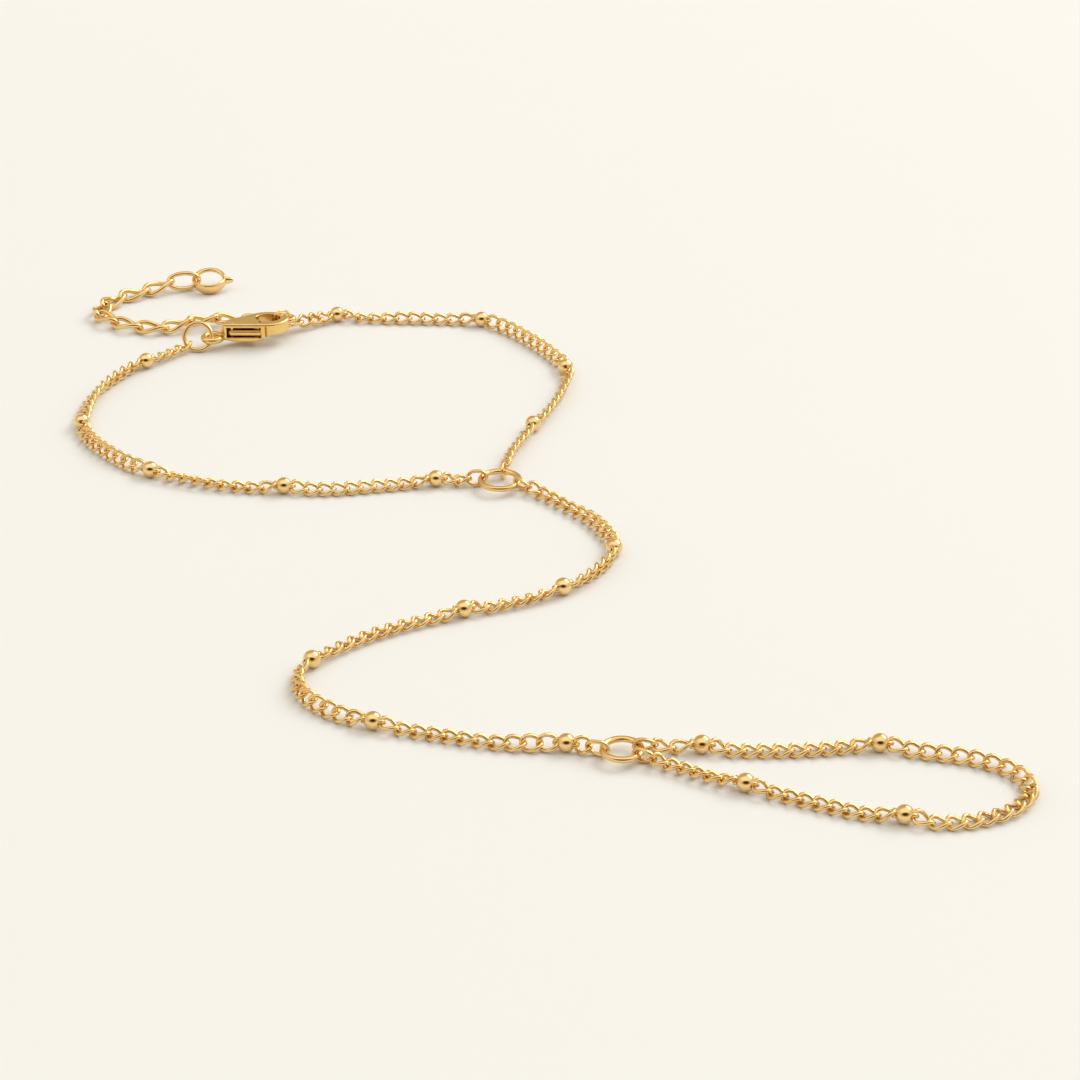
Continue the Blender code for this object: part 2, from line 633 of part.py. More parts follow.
def lay_strands():
    """Every strand on its route, with its height set at its ends and its beads."""
    ring_b = (RING_B_DIAMETER - JUNCTION_WIRE) / 2
    ring_c = (RING_C_DIAMETER - JUNCTION_WIRE) / 2
    centre, out, _, outwards, half = hook_link_place()
    hook = centre + out * outwards
    hook_low = centre[2] - half + HOOK_LINK_WIRE / 2
    wrist_height = hook_low + RUNNING_GAP + WIRE_RADIUS
    extension_height = wrist_height + WIRE_RADIUS + RUNNING_GAP + COARSE_RADIUS
    ring_a = ring_a_point(SEAT_RING_A)
    ends = {
        "wrist_left": (ring_a[:2], seat(RING_B_CENTRE, ring_b, SEAT_WRIST_LEFT)),
        "wrist_right": (hook[:2], seat(RING_B_CENTRE, ring_b, SEAT_WRIST_RIGHT)),
        "hand": [
            seat(RING_B_CENTRE, ring_b, SEAT_HAND_START),
            seat(RING_C_CENTRE, ring_c, SEAT_HAND_END),
        ],
        "finger": [
            seat(RING_C_CENTRE, ring_c, SEAT_FINGER_START),
            seat(RING_C_CENTRE, ring_c, SEAT_FINGER_END),
        ],
    }
    strands = {}
    for name, (start, end) in ends.items():
        strand = Strand(ROUTES[name], start, end, LINK_HALF, WIRE_RADIUS)
        for place in strand.beads:
            strand.raise_near(place, BEAD_RADIUS + FLOOR_GAP, BEAD_RADIUS, 3 * BEAD_RADIUS)
        if name == "wrist_left":
            strand.raise_near(0, max(ring_a[2], LINK_HALF), 0, 2 * LINK_PITCH)
        elif name == "wrist_right":
            strand.raise_near(0, wrist_height, 0, 3 * LINK_PITCH)
        else:
            strand.raise_near(0, JUNCTION_HEIGHT, LINK_PITCH / 2, 2 * LINK_PITCH)
        strand.raise_near(strand.length, JUNCTION_HEIGHT, LINK_PITCH / 2, 2 * LINK_PITCH)
        strands[name] = strand
    *rows, tail = ROUTES["extension"]
    strand = Strand(rows, hook[:2], tail[:2], COARSE_HALF, COARSE_RADIUS)
    strand.raise_near(0, extension_height, 0, COARSE_PITCH)
    ring_room = END_RING_DIAMETER
    strand.raise_near(strand.length, END_RING_HEIGHT, ring_room, ring_room + COARSE_PITCH)
    strands["extension"] = strand
    return strands


def strand_ends(name):
    """How far a strand's end links reach past their rings, and how each end is turned."""
    quarter = math.pi / 2
    hook_reach = HOOK_LINK_WIRE / 2 + WIRE_RADIUS + FIT_GAP
    ring_a_reach = RING_A_WIRE / 2 + WIRE_RADIUS + FIT_GAP
    if name == "wrist_left":
        return (ring_a_reach, RING_REACH), (math.radians(RING_A_LINK_TURN), quarter)
    if name == "wrist_right":
        return (hook_reach, RING_REACH), (0.0, quarter)
    return (RING_REACH, RING_REACH), (-quarter, quarter)


def build_fine_chain(gold, strands):
    """The finger loop as soldered links, and the other strands as tubes with their end links."""
    reaches, turns = strand_ends("finger")
    finger = strands["finger"]
    links = [link_rings(finger, row, *turns) for row in strand_links(finger, *reaches)]
    soldered_chain("finger_chain", links, gold)
    for name in ("wrist_left", "wrist_right", "hand"):
        strand = strands[name]
        reaches, turns = strand_ends(name)
        rows = strand_links(strand, *reaches)
        for tag, row in (("start", rows[0]), ("end", rows[-1])):
            rings = link_rings(strand, row, *turns)
            faces = loop_faces(len(rings), WIRE_SIDES)
            add_object(f"{name}_{tag}_link", rings.reshape(-1, 3), faces, gold)
        margin = BOW_STEP / 2 + WIRE_RADIUS + TUBE_END_GAP
        strand_tube(f"{name}_chain", strand, rows[0][1] + margin, rows[-1][0] - margin, gold)


def build_beads(gold, strands):
    """One bead at each place that a strand's table marks."""
    for name in ("wrist_left", "wrist_right", "hand", "finger"):
        for number, place in enumerate(strands[name].beads, 1):
            bead(f"{name}_bead_{number}", strands[name], place, gold)


def build_rings(gold):
    """The three jump rings: A stands in the clasp's eyelet, B and C lie where the strands meet."""
    lean = math.radians(RING_A_TILT)
    facing = (0, -math.sin(lean), math.cos(lean))
    round_ring("ring_a", RING_A_CENTRE, RING_A_DIAMETER, RING_A_WIRE, facing, gold)
    ring_b = (*RING_B_CENTRE, JUNCTION_HEIGHT)
    round_ring("ring_b", ring_b, RING_B_DIAMETER, JUNCTION_WIRE, (0, 0, 1), gold)
    ring_c = (*RING_C_CENTRE, JUNCTION_HEIGHT)
    round_ring("ring_c", ring_c, RING_C_DIAMETER, JUNCTION_WIRE, (0, 0, 1), gold)


def build_extension(gold, strand):
    """The coarser curb links between the hook and the end ring, each free in the next."""
    centre, out, inwards, outwards, half = hook_link_place()
    upright_link("hook_link", centre, out, inwards, outwards, half, HOOK_LINK_WIRE, gold)
    bow_step = COARSE_WIRE + RUNNING_GAP
    hook_reach = HOOK_LINK_WIRE / 2 + COARSE_RADIUS + RUNNING_GAP
    ring_reach = END_RING_WIRE / 2 + COARSE_RADIUS + RUNNING_GAP
    last = strand.length - END_RING_RADIUS
    count = round(last / COARSE_PITCH)
    joints = np.linspace(-hook_reach + bow_step / 2, last + ring_reach - bow_step / 2, count + 1)
    for number, (a, b) in enumerate(zip(joints[:-1], joints[1:]), 1):
        start = beyond(strand, a, COARSE_PITCH)
        end = beyond(strand, b, COARSE_PITCH)
        along, up = frame_at(start, end)
        reach = (np.linalg.norm(end - start) + bow_step) / 2
        left = 0.0 if number == 1 else strand.roll(a) + CURB_TWIST
        right = math.pi / 2 if number == count else strand.roll(b) - CURB_TWIST
        shape = oval_shape(reach, COARSE_HALF, LINK_SIDES)
        middle = (start + end) / 2
        rings = twisted_link(shape, middle, along, up, left, right, COARSE_RADIUS, WIRE_SIDES)
        faces = loop_faces(len(rings), WIRE_SIDES)
        add_object(f"extension_link_{number:02d}", rings.reshape(-1, 3), faces, gold)
    end_ring(gold, strand)


def end_ring(gold, strand):
    """The ring at the free end: its near side is a broad flange, and a small tail is soldered on."""
    centre = strand.point(strand.length)
    angles = 2 * math.pi * (np.arange(RING_SIDES) + 0.5) / RING_SIDES
    level = np.sin(angles) * math.cos(END_RING_TURN)
    rise = np.sin(angles) * math.sin(END_RING_TURN)
    radial = np.stack([np.cos(angles), level, rise], axis=1)
    broad = np.clip(-np.sin(angles), 0, 1)
    tall = END_RING_WIRE / 2 + (END_RING_FLANGE - END_RING_WIRE) / 2 * broad
    radii = np.stack([np.full(RING_SIDES, END_RING_WIRE / 2), tall], axis=1)
    rings = wire_loop(centre + END_RING_RADIUS * radial, radial, radii, RING_WIRE_SIDES)
    faces = loop_faces(RING_SIDES, RING_WIRE_SIDES)
    ring = add_object("end_ring", rings.reshape(-1, 3), faces, gold)
    root = centre + (END_RING_RADIUS, 0, 0)
    tip = root + (TAIL_LENGTH, 0, 0)
    vertices = []
    for middle, width in ((root, TAIL_ROOT), (tip, TAIL_TIP)):
        for turn in 2 * math.pi * np.arange(TAIL_SIDES) / TAIL_SIDES:
            vertices.append(middle + (0, width / 2 * math.cos(turn), width / 2 * math.sin(turn)))
    tail = helper(add_object("tail_tip", vertices, block_faces(TAIL_SIDES), gold))
    join(ring, tail, "UNION")


def helper(item):
    """Marks an object as a guide that another is cut or joined with."""
    item.hide_render = True
    item.display_type = "WIRE"
    return item


def join(target, tool, operation):
    """Adds one Boolean to an object."""
    step = target.modifiers.new(tool.name, "BOOLEAN")
    step.operation = operation
    step.object = tool
    step.solver = "EXACT"


def block_faces(count):
    """The faces between two rings of corners, and the two ends that close them."""
    faces = [(i, (i + 1) % count, count + (i + 1) % count, count + i) for i in range(count)]
    return faces + [tuple(range(count))[::-1], tuple(range(count, 2 * count))]


def prism(name, outline, low, high, material):
    """An upright block with a given outline, in the clasp's own place."""
    place = np.array(CLASP_PLACE)
    vertices = [place + (x, y, z) for z in (low, high) for x, y in outline]
    return add_object(name, vertices, block_faces(len(outline)), material, smooth=False)


def side_prism(name, outline, near, far, material):
    """A block with an outline seen from the front, from one depth to another, in the clasp's place."""
    place = np.array(CLASP_PLACE)
    vertices = [place + (x, y, z) for y in (near, far) for x, z in outline]
    return add_object(name, vertices, block_faces(len(outline)), material, smooth=False)


def oval(centre, length, width, count):
    """Corners of an oval, or of a circle."""
    angles = 2 * math.pi * (np.arange(count) + 0.5) / count
    x = centre[0] + length / 2 * np.cos(angles)
    y = centre[1] + width / 2 * np.sin(angles)
    return list(zip(x, y))


def pivot_place():
    """The lever's pivot, measured from the clasp's corner."""
    return np.array([SLOT_START + FIT_GAP + KNUCKLE, FIT_GAP + KNUCKLE])


def pivot_hole(name, material):
    """A guide that drills the pivot's hole, with room for the pin to turn."""
    width = PIVOT_PIN + 2 * FIT_GAP
    outline = oval(pivot_place(), width, width, BORE_SIDES)
    return helper(prism(name, outline, -1, CLASP_HEIGHT + 1, material))


def clasp_eyelet(body, gold):
    """The round eye at the clasp's rear, and the block that joins it to the body."""
    centre = np.array(CLASP_PLACE) + EYELET_OFFSET
    middle = (EYELET_DIAMETER - EYELET_WIRE) / 2
    angles = 2 * math.pi * (np.arange(RING_SIDES) + 0.5) / RING_SIDES
    radial = np.stack([np.cos(angles), np.sin(angles), np.zeros(RING_SIDES)], axis=1)
    radii = (EYELET_WIRE / 2, EYELET_WIRE / 2)
    rings = wire_loop(centre + middle * radial, radial, radii, EYELET_SIDES)
    faces = loop_faces(RING_SIDES, EYELET_SIDES)
    join(body, helper(add_object("eyelet_ring", rings.reshape(-1, 3), faces, gold)), "UNION")
    hole_edge = EYELET_OFFSET[0] + middle - EYELET_WIRE / 2
    low = EYELET_OFFSET[2] - EYELET_WIRE / 2
    high = EYELET_OFFSET[2] + EYELET_WIRE / 2
    neck = [
        (hole_edge + EDGE_INSET, low),
        (SLOT_START, low),
        (SLOT_START, CLASP_HEIGHT - EDGE_INSET),
        (EDGE_INSET, CLASP_HEIGHT - EDGE_INSET),
        (hole_edge + NECK_SLOPE, high),
    ]
    far = EDGE_INSET + NECK_DEPTH
    join(body, helper(side_prism("eyelet_neck", neck, EDGE_INSET, far, gold)), "UNION")


def clasp_hook(body, gold):
    """Cuts the hook's opening and its mouth, which the lever swings in through, and its underside."""
    middle = hook_opening_centre()
    opening = oval(middle, HOOK_OPENING_LENGTH, HOOK_OPENING_WIDTH, OPENING_SIDES)
    above = CLASP_HEIGHT + 1
    join(body, helper(prism("hook_opening", opening, -1, above, gold)), "DIFFERENCE")
    pivot = pivot_place()
    mouth = [(MOUTH_START, -1)]
    for turn in np.radians(np.linspace(0, MOUTH_SWING_ROOM * LEVER_SWING, 4)):
        reach = MOUTH_START - pivot[0]
        mouth.append((pivot[0] + reach * math.cos(turn), pivot[1] + reach * math.sin(turn)))
    mouth += [(MOUTH_END, middle[1]), (MOUTH_END, -1)]
    join(body, helper(prism("hook_mouth", mouth, -1, above, gold)), "DIFFERENCE")
    beyond_end = CLASP_LENGTH + 1
    under = [
        (UNDERCUT_START, -1),
        (UNDERCUT_START, 0),
        (UNDERCUT_END, HOOK_UNDERCUT),
        (beyond_end, HOOK_UNDERCUT),
        (beyond_end, -1),
    ]
    guide = side_prism("hook_underside", under, -1, CLASP_BROAD + 1, gold)
    join(body, helper(guide), "DIFFERENCE")


def lever_slot(body, gold):
    """Cuts the slot that the lever lies and swings in, between the clasp's two plates."""
    pivot = pivot_place()
    depth = 2 * KNUCKLE + 2 * FIT_GAP
    slope = math.tan(math.radians(SLOT_SWING_ROOM * LEVER_SWING))
    reach = MOUTH_START - EDGE_INSET
    past = MOUTH_START + MOUTH_WIDTH / 3
    slot = [
        (SLOT_START, -1),
        (SLOT_START, depth),
        (pivot[0] + KNUCKLE, depth + EDGE_INSET),
        (reach, depth + (reach - pivot[0]) * slope),
        (past, depth),
        (past, -1),
    ]
    guide = prism("lever_slot", slot, PLATE, PLATE + SLOT_HEIGHT, gold)
    join(body, helper(guide), "DIFFERENCE")


def build_clasp(gold):
    """The lobster clasp: its body with hook and eyelet, the lever in its slot, and the pivot pin."""
    body = prism("clasp_body", clasp_outline(), 0, CLASP_HEIGHT, gold)
    clasp_eyelet(body, gold)
    clasp_hook(body, gold)
    lever_slot(body, gold)
    join(body, pivot_hole("pivot_bore", gold), "DIFFERENCE")
    pin = oval(pivot_place(), PIVOT_PIN, PIVOT_PIN, BORE_SIDES)
    prism("clasp_pin", pin, PIN_RECESS, CLASP_HEIGHT, gold)
    build_lever(gold)


def build_lever(gold):
    """The sprung lever: a bar from the pivot to a taller head that closes the hook's mouth."""
    pivot = pivot_place()
    front = FIT_GAP
    back = front + LEVER_BAR_DEPTH
    head_end = MOUTH_END - FIT_GAP
    bar = []
    for turn in np.radians(np.linspace(90, 270, ARC_STEPS)):
        bar.append((pivot[0] + KNUCKLE * math.cos(turn), pivot[1] + KNUCKLE * math.sin(turn)))
    bar += [(head_end, front), (head_end, back)]
    bar_low = PLATE + (SLOT_HEIGHT - LEVER_BAR_HEIGHT) / 2
    lever = prism("clasp_lever", bar, bar_low, bar_low + LEVER_BAR_HEIGHT, gold)
    head = [
        (MOUTH_START + FIT_GAP, front - HEAD_PROUD),
        (head_end + HEAD_PROUD, front - HEAD_PROUD),
        (head_end + HEAD_PROUD, back + HEAD_PROUD),
        (MOUTH_START + FIT_GAP, back + HEAD_PROUD),
    ]
    head_high = min(HOOK_UNDERCUT + LEVER_HEAD_HEIGHT, CLASP_HEIGHT) - PIN_RECESS
    join(lever, helper(prism("lever_head", head, HOOK_UNDERCUT, head_high, gold)), "UNION")
    join(lever, pivot_hole("lever_bore", gold), "DIFFERENCE")
    axis = Vector([*((np.array(CLASP_PLACE[:2]) + pivot) * MM), CLASP_PLACE[2] * MM])
    lever.data.transform(Matrix.Translation(-axis))
    lever.location = axis


def centre_on_floor():
    """Hangs everything on one empty, and puts the middle of the whole above the origin."""
    items = list(bpy.data.objects)
    bpy.context.view_layer.update()
    graph = bpy.context.evaluated_depsgraph_get()
    corners = []
    for item in items:
        if item.hide_render:
            continue
        shape = item.evaluated_get(graph).to_mesh()
        points = np.empty(3 * len(shape.vertices), dtype=np.float32)
        shape.vertices.foreach_get("co", points)
        world = points.reshape(-1, 3) + np.array(item.matrix_world.translation)
        corners += [world.min(0), world.max(0)]
        item.evaluated_get(graph).to_mesh_clear()
    low = np.min(corners, axis=0)
    high = np.max(corners, axis=0)
    root = bpy.data.objects.new("hand_chain_origin", None)
    bpy.context.scene.collection.objects.link(root)
    for item in items:
        item.parent = root
    root.location = Vector([-(low[0] + high[0]) / 2, -(low[1] + high[1]) / 2, -low[2]])
    bpy.context.view_layer.update()


def build():
    """Makes the whole hand chain."""
    clear_scene()
    gold = metal("polished gold", (0.83, 0.58, 0.25), 0.18)
    satin = metal("satin gold", (0.74, 0.55, 0.27), 0.4)
    strands = lay_strands()
    build_fine_chain(gold, strands)
    build_beads(gold, strands)
    build_rings(gold)
    build_extension(gold, strands["extension"])
    build_clasp(satin)
    centre_on_floor()


build()
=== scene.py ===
"""Dresses a hand chain: a wrist bracelet with a lobster clasp, a strand over the hand, a finger loop.

The sections follow the piece as a jeweller puts it together. Sizes are millimetres, and a mesh's
points are turned into metres when it is made. Routes and places are measured from one point of the
table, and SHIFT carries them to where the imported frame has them.
"""
import math

import bpy
import numpy as np
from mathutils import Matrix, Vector


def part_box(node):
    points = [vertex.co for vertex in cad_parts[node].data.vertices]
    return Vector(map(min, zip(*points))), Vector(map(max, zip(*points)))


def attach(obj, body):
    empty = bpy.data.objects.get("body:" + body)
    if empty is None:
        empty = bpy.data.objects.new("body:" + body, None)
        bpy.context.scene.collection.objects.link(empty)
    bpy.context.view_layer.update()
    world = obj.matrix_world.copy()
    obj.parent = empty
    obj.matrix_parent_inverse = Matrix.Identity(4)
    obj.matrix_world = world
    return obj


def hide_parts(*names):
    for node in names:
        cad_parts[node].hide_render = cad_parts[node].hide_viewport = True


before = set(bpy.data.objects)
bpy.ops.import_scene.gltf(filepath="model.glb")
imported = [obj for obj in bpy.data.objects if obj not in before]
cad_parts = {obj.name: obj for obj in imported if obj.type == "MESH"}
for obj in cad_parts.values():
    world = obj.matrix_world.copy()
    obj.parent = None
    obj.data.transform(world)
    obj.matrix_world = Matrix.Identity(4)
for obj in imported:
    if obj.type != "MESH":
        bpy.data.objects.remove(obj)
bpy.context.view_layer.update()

# The table
# The chain lies loose on a pale cream table top, which runs out of sight on all sides. It is smooth
# matt board, a little warm where it catches the light.
MM = 0.001
TABLE_HALF = 3000.0
TABLE_COLOUR = (0.890, 0.902, 0.908)
TABLE_TINT = (0.884, 0.893, 0.892)
TABLE_ROUGHNESS = 0.75
TABLE_PATCHES = 9.0


class Field:
    """A socket that a number, colour or vector comes out of; sums with it add Math nodes."""

    def __init__(self, tree, socket=None):
        self.tree = tree
        self.socket = socket

    def node(self, kind, settings, feeds, output=0):
        """Adds one node: its settings first, then the value or link of each socket named."""
        made = self.tree.nodes.new(kind)
        for name, value in settings.items():
            setattr(made, name, value)
        for name, value in feeds.items():
            if isinstance(value, Field):
                self.tree.links.new(value.socket, made.inputs[name])
            else:
                made.inputs[name].default_value = value
        return Field(self.tree, made.outputs[output] if made.outputs else None)

    def maths(self, operation, first, second):
        """One Math node on two numbers, either of which may be a plain one."""
        return self.node("ShaderNodeMath", {"operation": operation}, {0: first, 1: second})

    def __add__(self, other):
        return self.maths("ADD", self, other)

    def __rsub__(self, other):
        return self.maths("SUBTRACT", other, self)

    def __mul__(self, other):
        return self.maths("MULTIPLY", self, other)

    def mix(self, first, second):
        """A colour that goes from the first to the second as this number goes from 0 to 1."""
        ends = [end if isinstance(end, Field) else (*end, 1.0) for end in (first, second)]
        feeds = {0: self, 6: ends[0], 7: ends[1]}
        return self.node("ShaderNodeMix", {"data_type": "RGBA"}, feeds, output=2)

    def step(self, low, high):
        """0 below one value of this number, 1 above another, and a smooth rise between them."""
        settings = {"interpolation_type": "SMOOTHSTEP"}
        feeds = {"Value": self, "From Min": low, "From Max": high}
        return self.node("ShaderNodeMapRange", settings, feeds)

    def noise(self, scale, detail):
        """Cloudy noise from 0 to 1 at places, with so many patches to a metre."""
        return self.node("ShaderNodeTexNoise", {}, {"Vector": self, "Scale": scale, "Detail": detail})


def finish_of(name, constants):
    """A new material: its name, its Principled shader with plain values set, and its places."""
    material = bpy.data.materials.new(name)
    material.use_nodes = True
    shader = material.node_tree.nodes["Principled BSDF"]
    for socket, value in constants.items():
        shader.inputs[socket].default_value = value
    places = Field(material.node_tree).node("ShaderNodeTexCoord", {}, {}, output=3)
    return material, shader, places


def feed(shader, socket, field):
    """Lets a field drive one socket of a shader."""
    field.tree.links.new(field.socket, shader.inputs[socket])


def mesh_object(name, points, faces, material):
    """One object from points in millimetres, in any grid shape, and rows of corner numbers."""
    flat = np.asarray(points, float).reshape(-1, 3) * MM
    faces = np.asarray(faces)
    mesh = bpy.data.meshes.new(name)
    mesh.vertices.add(len(flat))
    mesh.vertices.foreach_set("co", flat.astype(np.float32).ravel())
    mesh.loops.add(faces.size)
    mesh.loops.foreach_set("vertex_index", faces.astype(np.int32).ravel())
    mesh.polygons.add(len(faces))
    mesh.polygons.foreach_set("loop_start", np.arange(0, faces.size, faces.shape[1], dtype=np.int32))
    mesh.update(calc_edges=True)
    mesh.shade_smooth()
    mesh.materials.append(material)
    item = bpy.data.objects.new(name, mesh)
    bpy.context.scene.collection.objects.link(item)
    return item


table_finish, table_shader, table_places = finish_of("cream board", {"Roughness": TABLE_ROUGHNESS})
feed(table_shader, "Base Color", table_places.noise(TABLE_PATCHES, 2.0).mix(TABLE_COLOUR, TABLE_TINT))
table_corners = TABLE_HALF * np.array([(-1, -1, 0), (1, -1, 0), (1, 1, 0), (-1, 1, 0)])
table = mesh_object("table_top", table_corners, [(0, 1, 2, 3)], table_finish)

# The camera and the light
# The camera stands in front, 28 degrees above the table, with a long lens. The room is bright overhead
# and dimmer near the horizon and on its far wall, a wide window stands at the right and behind, and a
# low wide band behind the camera is dark.
RING_B_SPOT = (-4.6, 12.8)
VIEW_ELEVATION = math.radians(28.0)
VIEW_DISTANCE = 344.5
LENS = 102.8
SENSOR = 36.0
ROOM_LOW = (0.80, 0.76, 0.67)
ROOM_HIGH = (1.24, 1.19, 1.10)
ROOM_RISE = (0.30, 0.95)
ROOM_DARK = (0.06, 0.036, 0.018)
ROOM_BACK = (0.60, 0.535, 0.425)
ROOM_STRENGTH = 0.95
ROOM_SEEN = (0.93, 0.905, 0.835)
DARK_TOWARDS = (0.0, -0.87, 0.49)
DARK_RISE = (0.0, 0.49, 0.87)
DARK_NARROW = 0.30
DARK_EDGES = (0.03, 0.24)
DARK_FADE = (0.0, 0.3)
BACK_TOWARDS = (-0.22, 0.80, 0.50)
BACK_EDGES = (0.60, 0.94)
WINDOW_TOWARDS = (0.56, 0.50, 0.66)
WINDOW_DISTANCE = 3000.0
WINDOW_SIZE = (2100.0, 1500.0)
WINDOW_COLOUR = (1.0, 0.985, 0.95)
WINDOW_POWER = 38.0

ring_b_low, ring_b_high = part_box("ring_b")
SHIFT = (np.array(ring_b_low) + np.array(ring_b_high)) / 2 / MM - (*RING_B_SPOT, 0.0)
SHIFT[2] = 0.0


def aim(item, towards):
    """Turns a camera or a lamp, which look down their own -Z, to look along a direction."""
    item.rotation_euler = Vector(towards).to_track_quat("-Z", "Y").to_euler()


def window(name, towards, size, power):
    """A rectangular soft lamp at a distance from the chain, which faces the chain."""
    lamp = bpy.data.lights.new(name, "AREA")
    lamp.shape = "RECTANGLE"
    lamp.size = size[0] * MM
    lamp.size_y = size[1] * MM
    lamp.energy = power
    lamp.color = WINDOW_COLOUR
    item = bpy.data.objects.new(name, lamp)
    bpy.context.scene.collection.objects.link(item)
    direction = Vector(towards).normalized()
    item.location = direction * WINDOW_DISTANCE * MM
    aim(item, -direction)


camera = bpy.data.objects.new("camera", bpy.data.cameras.new("camera"))
camera.data.lens = LENS
camera.data.sensor_width = SENSOR
camera.data.clip_start = 0.01
bpy.context.scene.collection.objects.link(camera)
eye = VIEW_DISTANCE * np.array([0, -math.cos(VIEW_ELEVATION), math.sin(VIEW_ELEVATION)])
camera.location = (SHIFT + eye) * MM
aim(camera, -eye)
bpy.context.scene.camera = camera
bpy.context.scene.view_settings.view_transform = "Standard"

window("window", WINDOW_TOWARDS, WINDOW_SIZE, WINDOW_POWER)

world = bpy.data.worlds.new("pale room")
world.use_nodes = True
world.node_tree.nodes.clear()
room = Field(world.node_tree)
looking = room.node("ShaderNodeTexCoord", {}, {}, output=0)
height = room.node("ShaderNodeSeparateXYZ", {}, {"Vector": looking}, output=2)
room_light = height.step(*ROOM_RISE).mix(ROOM_LOW, ROOM_HIGH)


def facing(towards):
    """How far the way looked in agrees with a direction: the cosine between the two."""
    way = tuple(Vector(towards).normalized())
    return room.node("ShaderNodeVectorMath", {"operation": "DOT_PRODUCT"}, {0: looking, 1: way}, output=1)


room_light = facing(BACK_TOWARDS).step(*BACK_EDGES).mix(room_light, ROOM_BACK)
sideways = facing((1, 0, 0))
off_level = facing(DARK_RISE)
off_band = sideways * sideways * DARK_NARROW + off_level * off_level
dark = (1 - off_band.step(*DARK_EDGES)) * facing(DARK_TOWARDS).step(*DARK_FADE)
room_light = dark.mix(room_light, ROOM_DARK)
lit = room.node("ShaderNodeBackground", {}, {"Color": room_light, "Strength": ROOM_STRENGTH})
seen = room.node("ShaderNodeBackground", {}, {"Color": (*ROOM_SEEN, 1.0), "Strength": 1.0})
straight = room.node("ShaderNodeLightPath", {}, {}, output=0)
both = room.node("ShaderNodeMixShader", {}, {0: straight, 1: lit, 2: seen})
room.node("ShaderNodeOutputWorld", {}, {"Surface": both})
bpy.context.scene.world = world

# The fine curb chain
# The wrist halves, the hand strand and the finger loop are one machine-made chain: round wire bent into
# links, each closed, soldered and twisted, so that it lies crossed in the next. Each bead sits on a
# narrow link with an eye at each end. It is brass, plated with gold and polished by tumbling.
LINK_PITCH = 1.6
LINK_WIRE = 0.36
LINK_WIDTH = 1.96
BEAD_DIAMETER = 1.92
STEM_WIDTH = 0.76
RING_B_DIAMETER = 5.2
RING_C_DIAMETER = 4.6
JUNCTION_WIRE = 0.68
RING_A_DIAMETER = 4.05
RING_A_WIRE = 0.56
COARSE_PITCH = 3.4
COARSE_WIRE = 0.52
COARSE_WIDTH = 2.5
HOOK_LINK_WIRE = 0.45
HOOK_LINK_ROOM = 1.1
HOOK_LINK_DROP = 0.5
END_RING_DIAMETER = 4.6
END_RING_WIRE = 0.6
END_RING_FLANGE = 1.25
CLASP_LENGTH = 8.25
CLASP_BROAD = 4.2
CLASP_HEIGHT = 2.35
HOOK_UNDERCUT = 0.75
HOOK_OPENING_LENGTH = 3.1
HOOK_OPENING_WIDTH = 2.35
HOOK_RIM_END = 1.15
HOOK_RIM_FRONT = 1.05
RUNNING_GAP = 0.12
FIT_GAP = 0.1
FLOOR_GAP = 0.03
BOW_STEP = 0.391
CURB_TWIST = math.radians(45)
END_LINK_STRETCH = 1.28
STEM_OVERHANG = 1.4
STEM_EYE = 0.38
STEM_PINCH = 0.45
BALL_BORE = 0.40
LINK_SQUARENESS = 2.3
RING_A_CENTRE = (-43.15, 51.45, 1.72)
RING_A_TILT = 55
RING_B_CENTRE = RING_B_SPOT
RING_C_CENTRE = (8.1, -45.8)
CLASP_PLACE = (-40.0, 51.7, 0.9)
HOOK_LINK_TURN = 45
END_RING_LEAN = 20
RING_A_LINK_TURN = 57
SEAT_WRIST_LEFT = 165
SEAT_WRIST_RIGHT = 82
SEAT_HAND_START = -16
SEAT_HAND_END = 178
SEAT_FINGER_START = 24
SEAT_FINGER_END = -30
SEAT_RING_A = 220
LINK_STEPS = 16
LINK_SIDES = 6
LINK_FACET = 0.230
END_LINK_RADIUS = 0.208

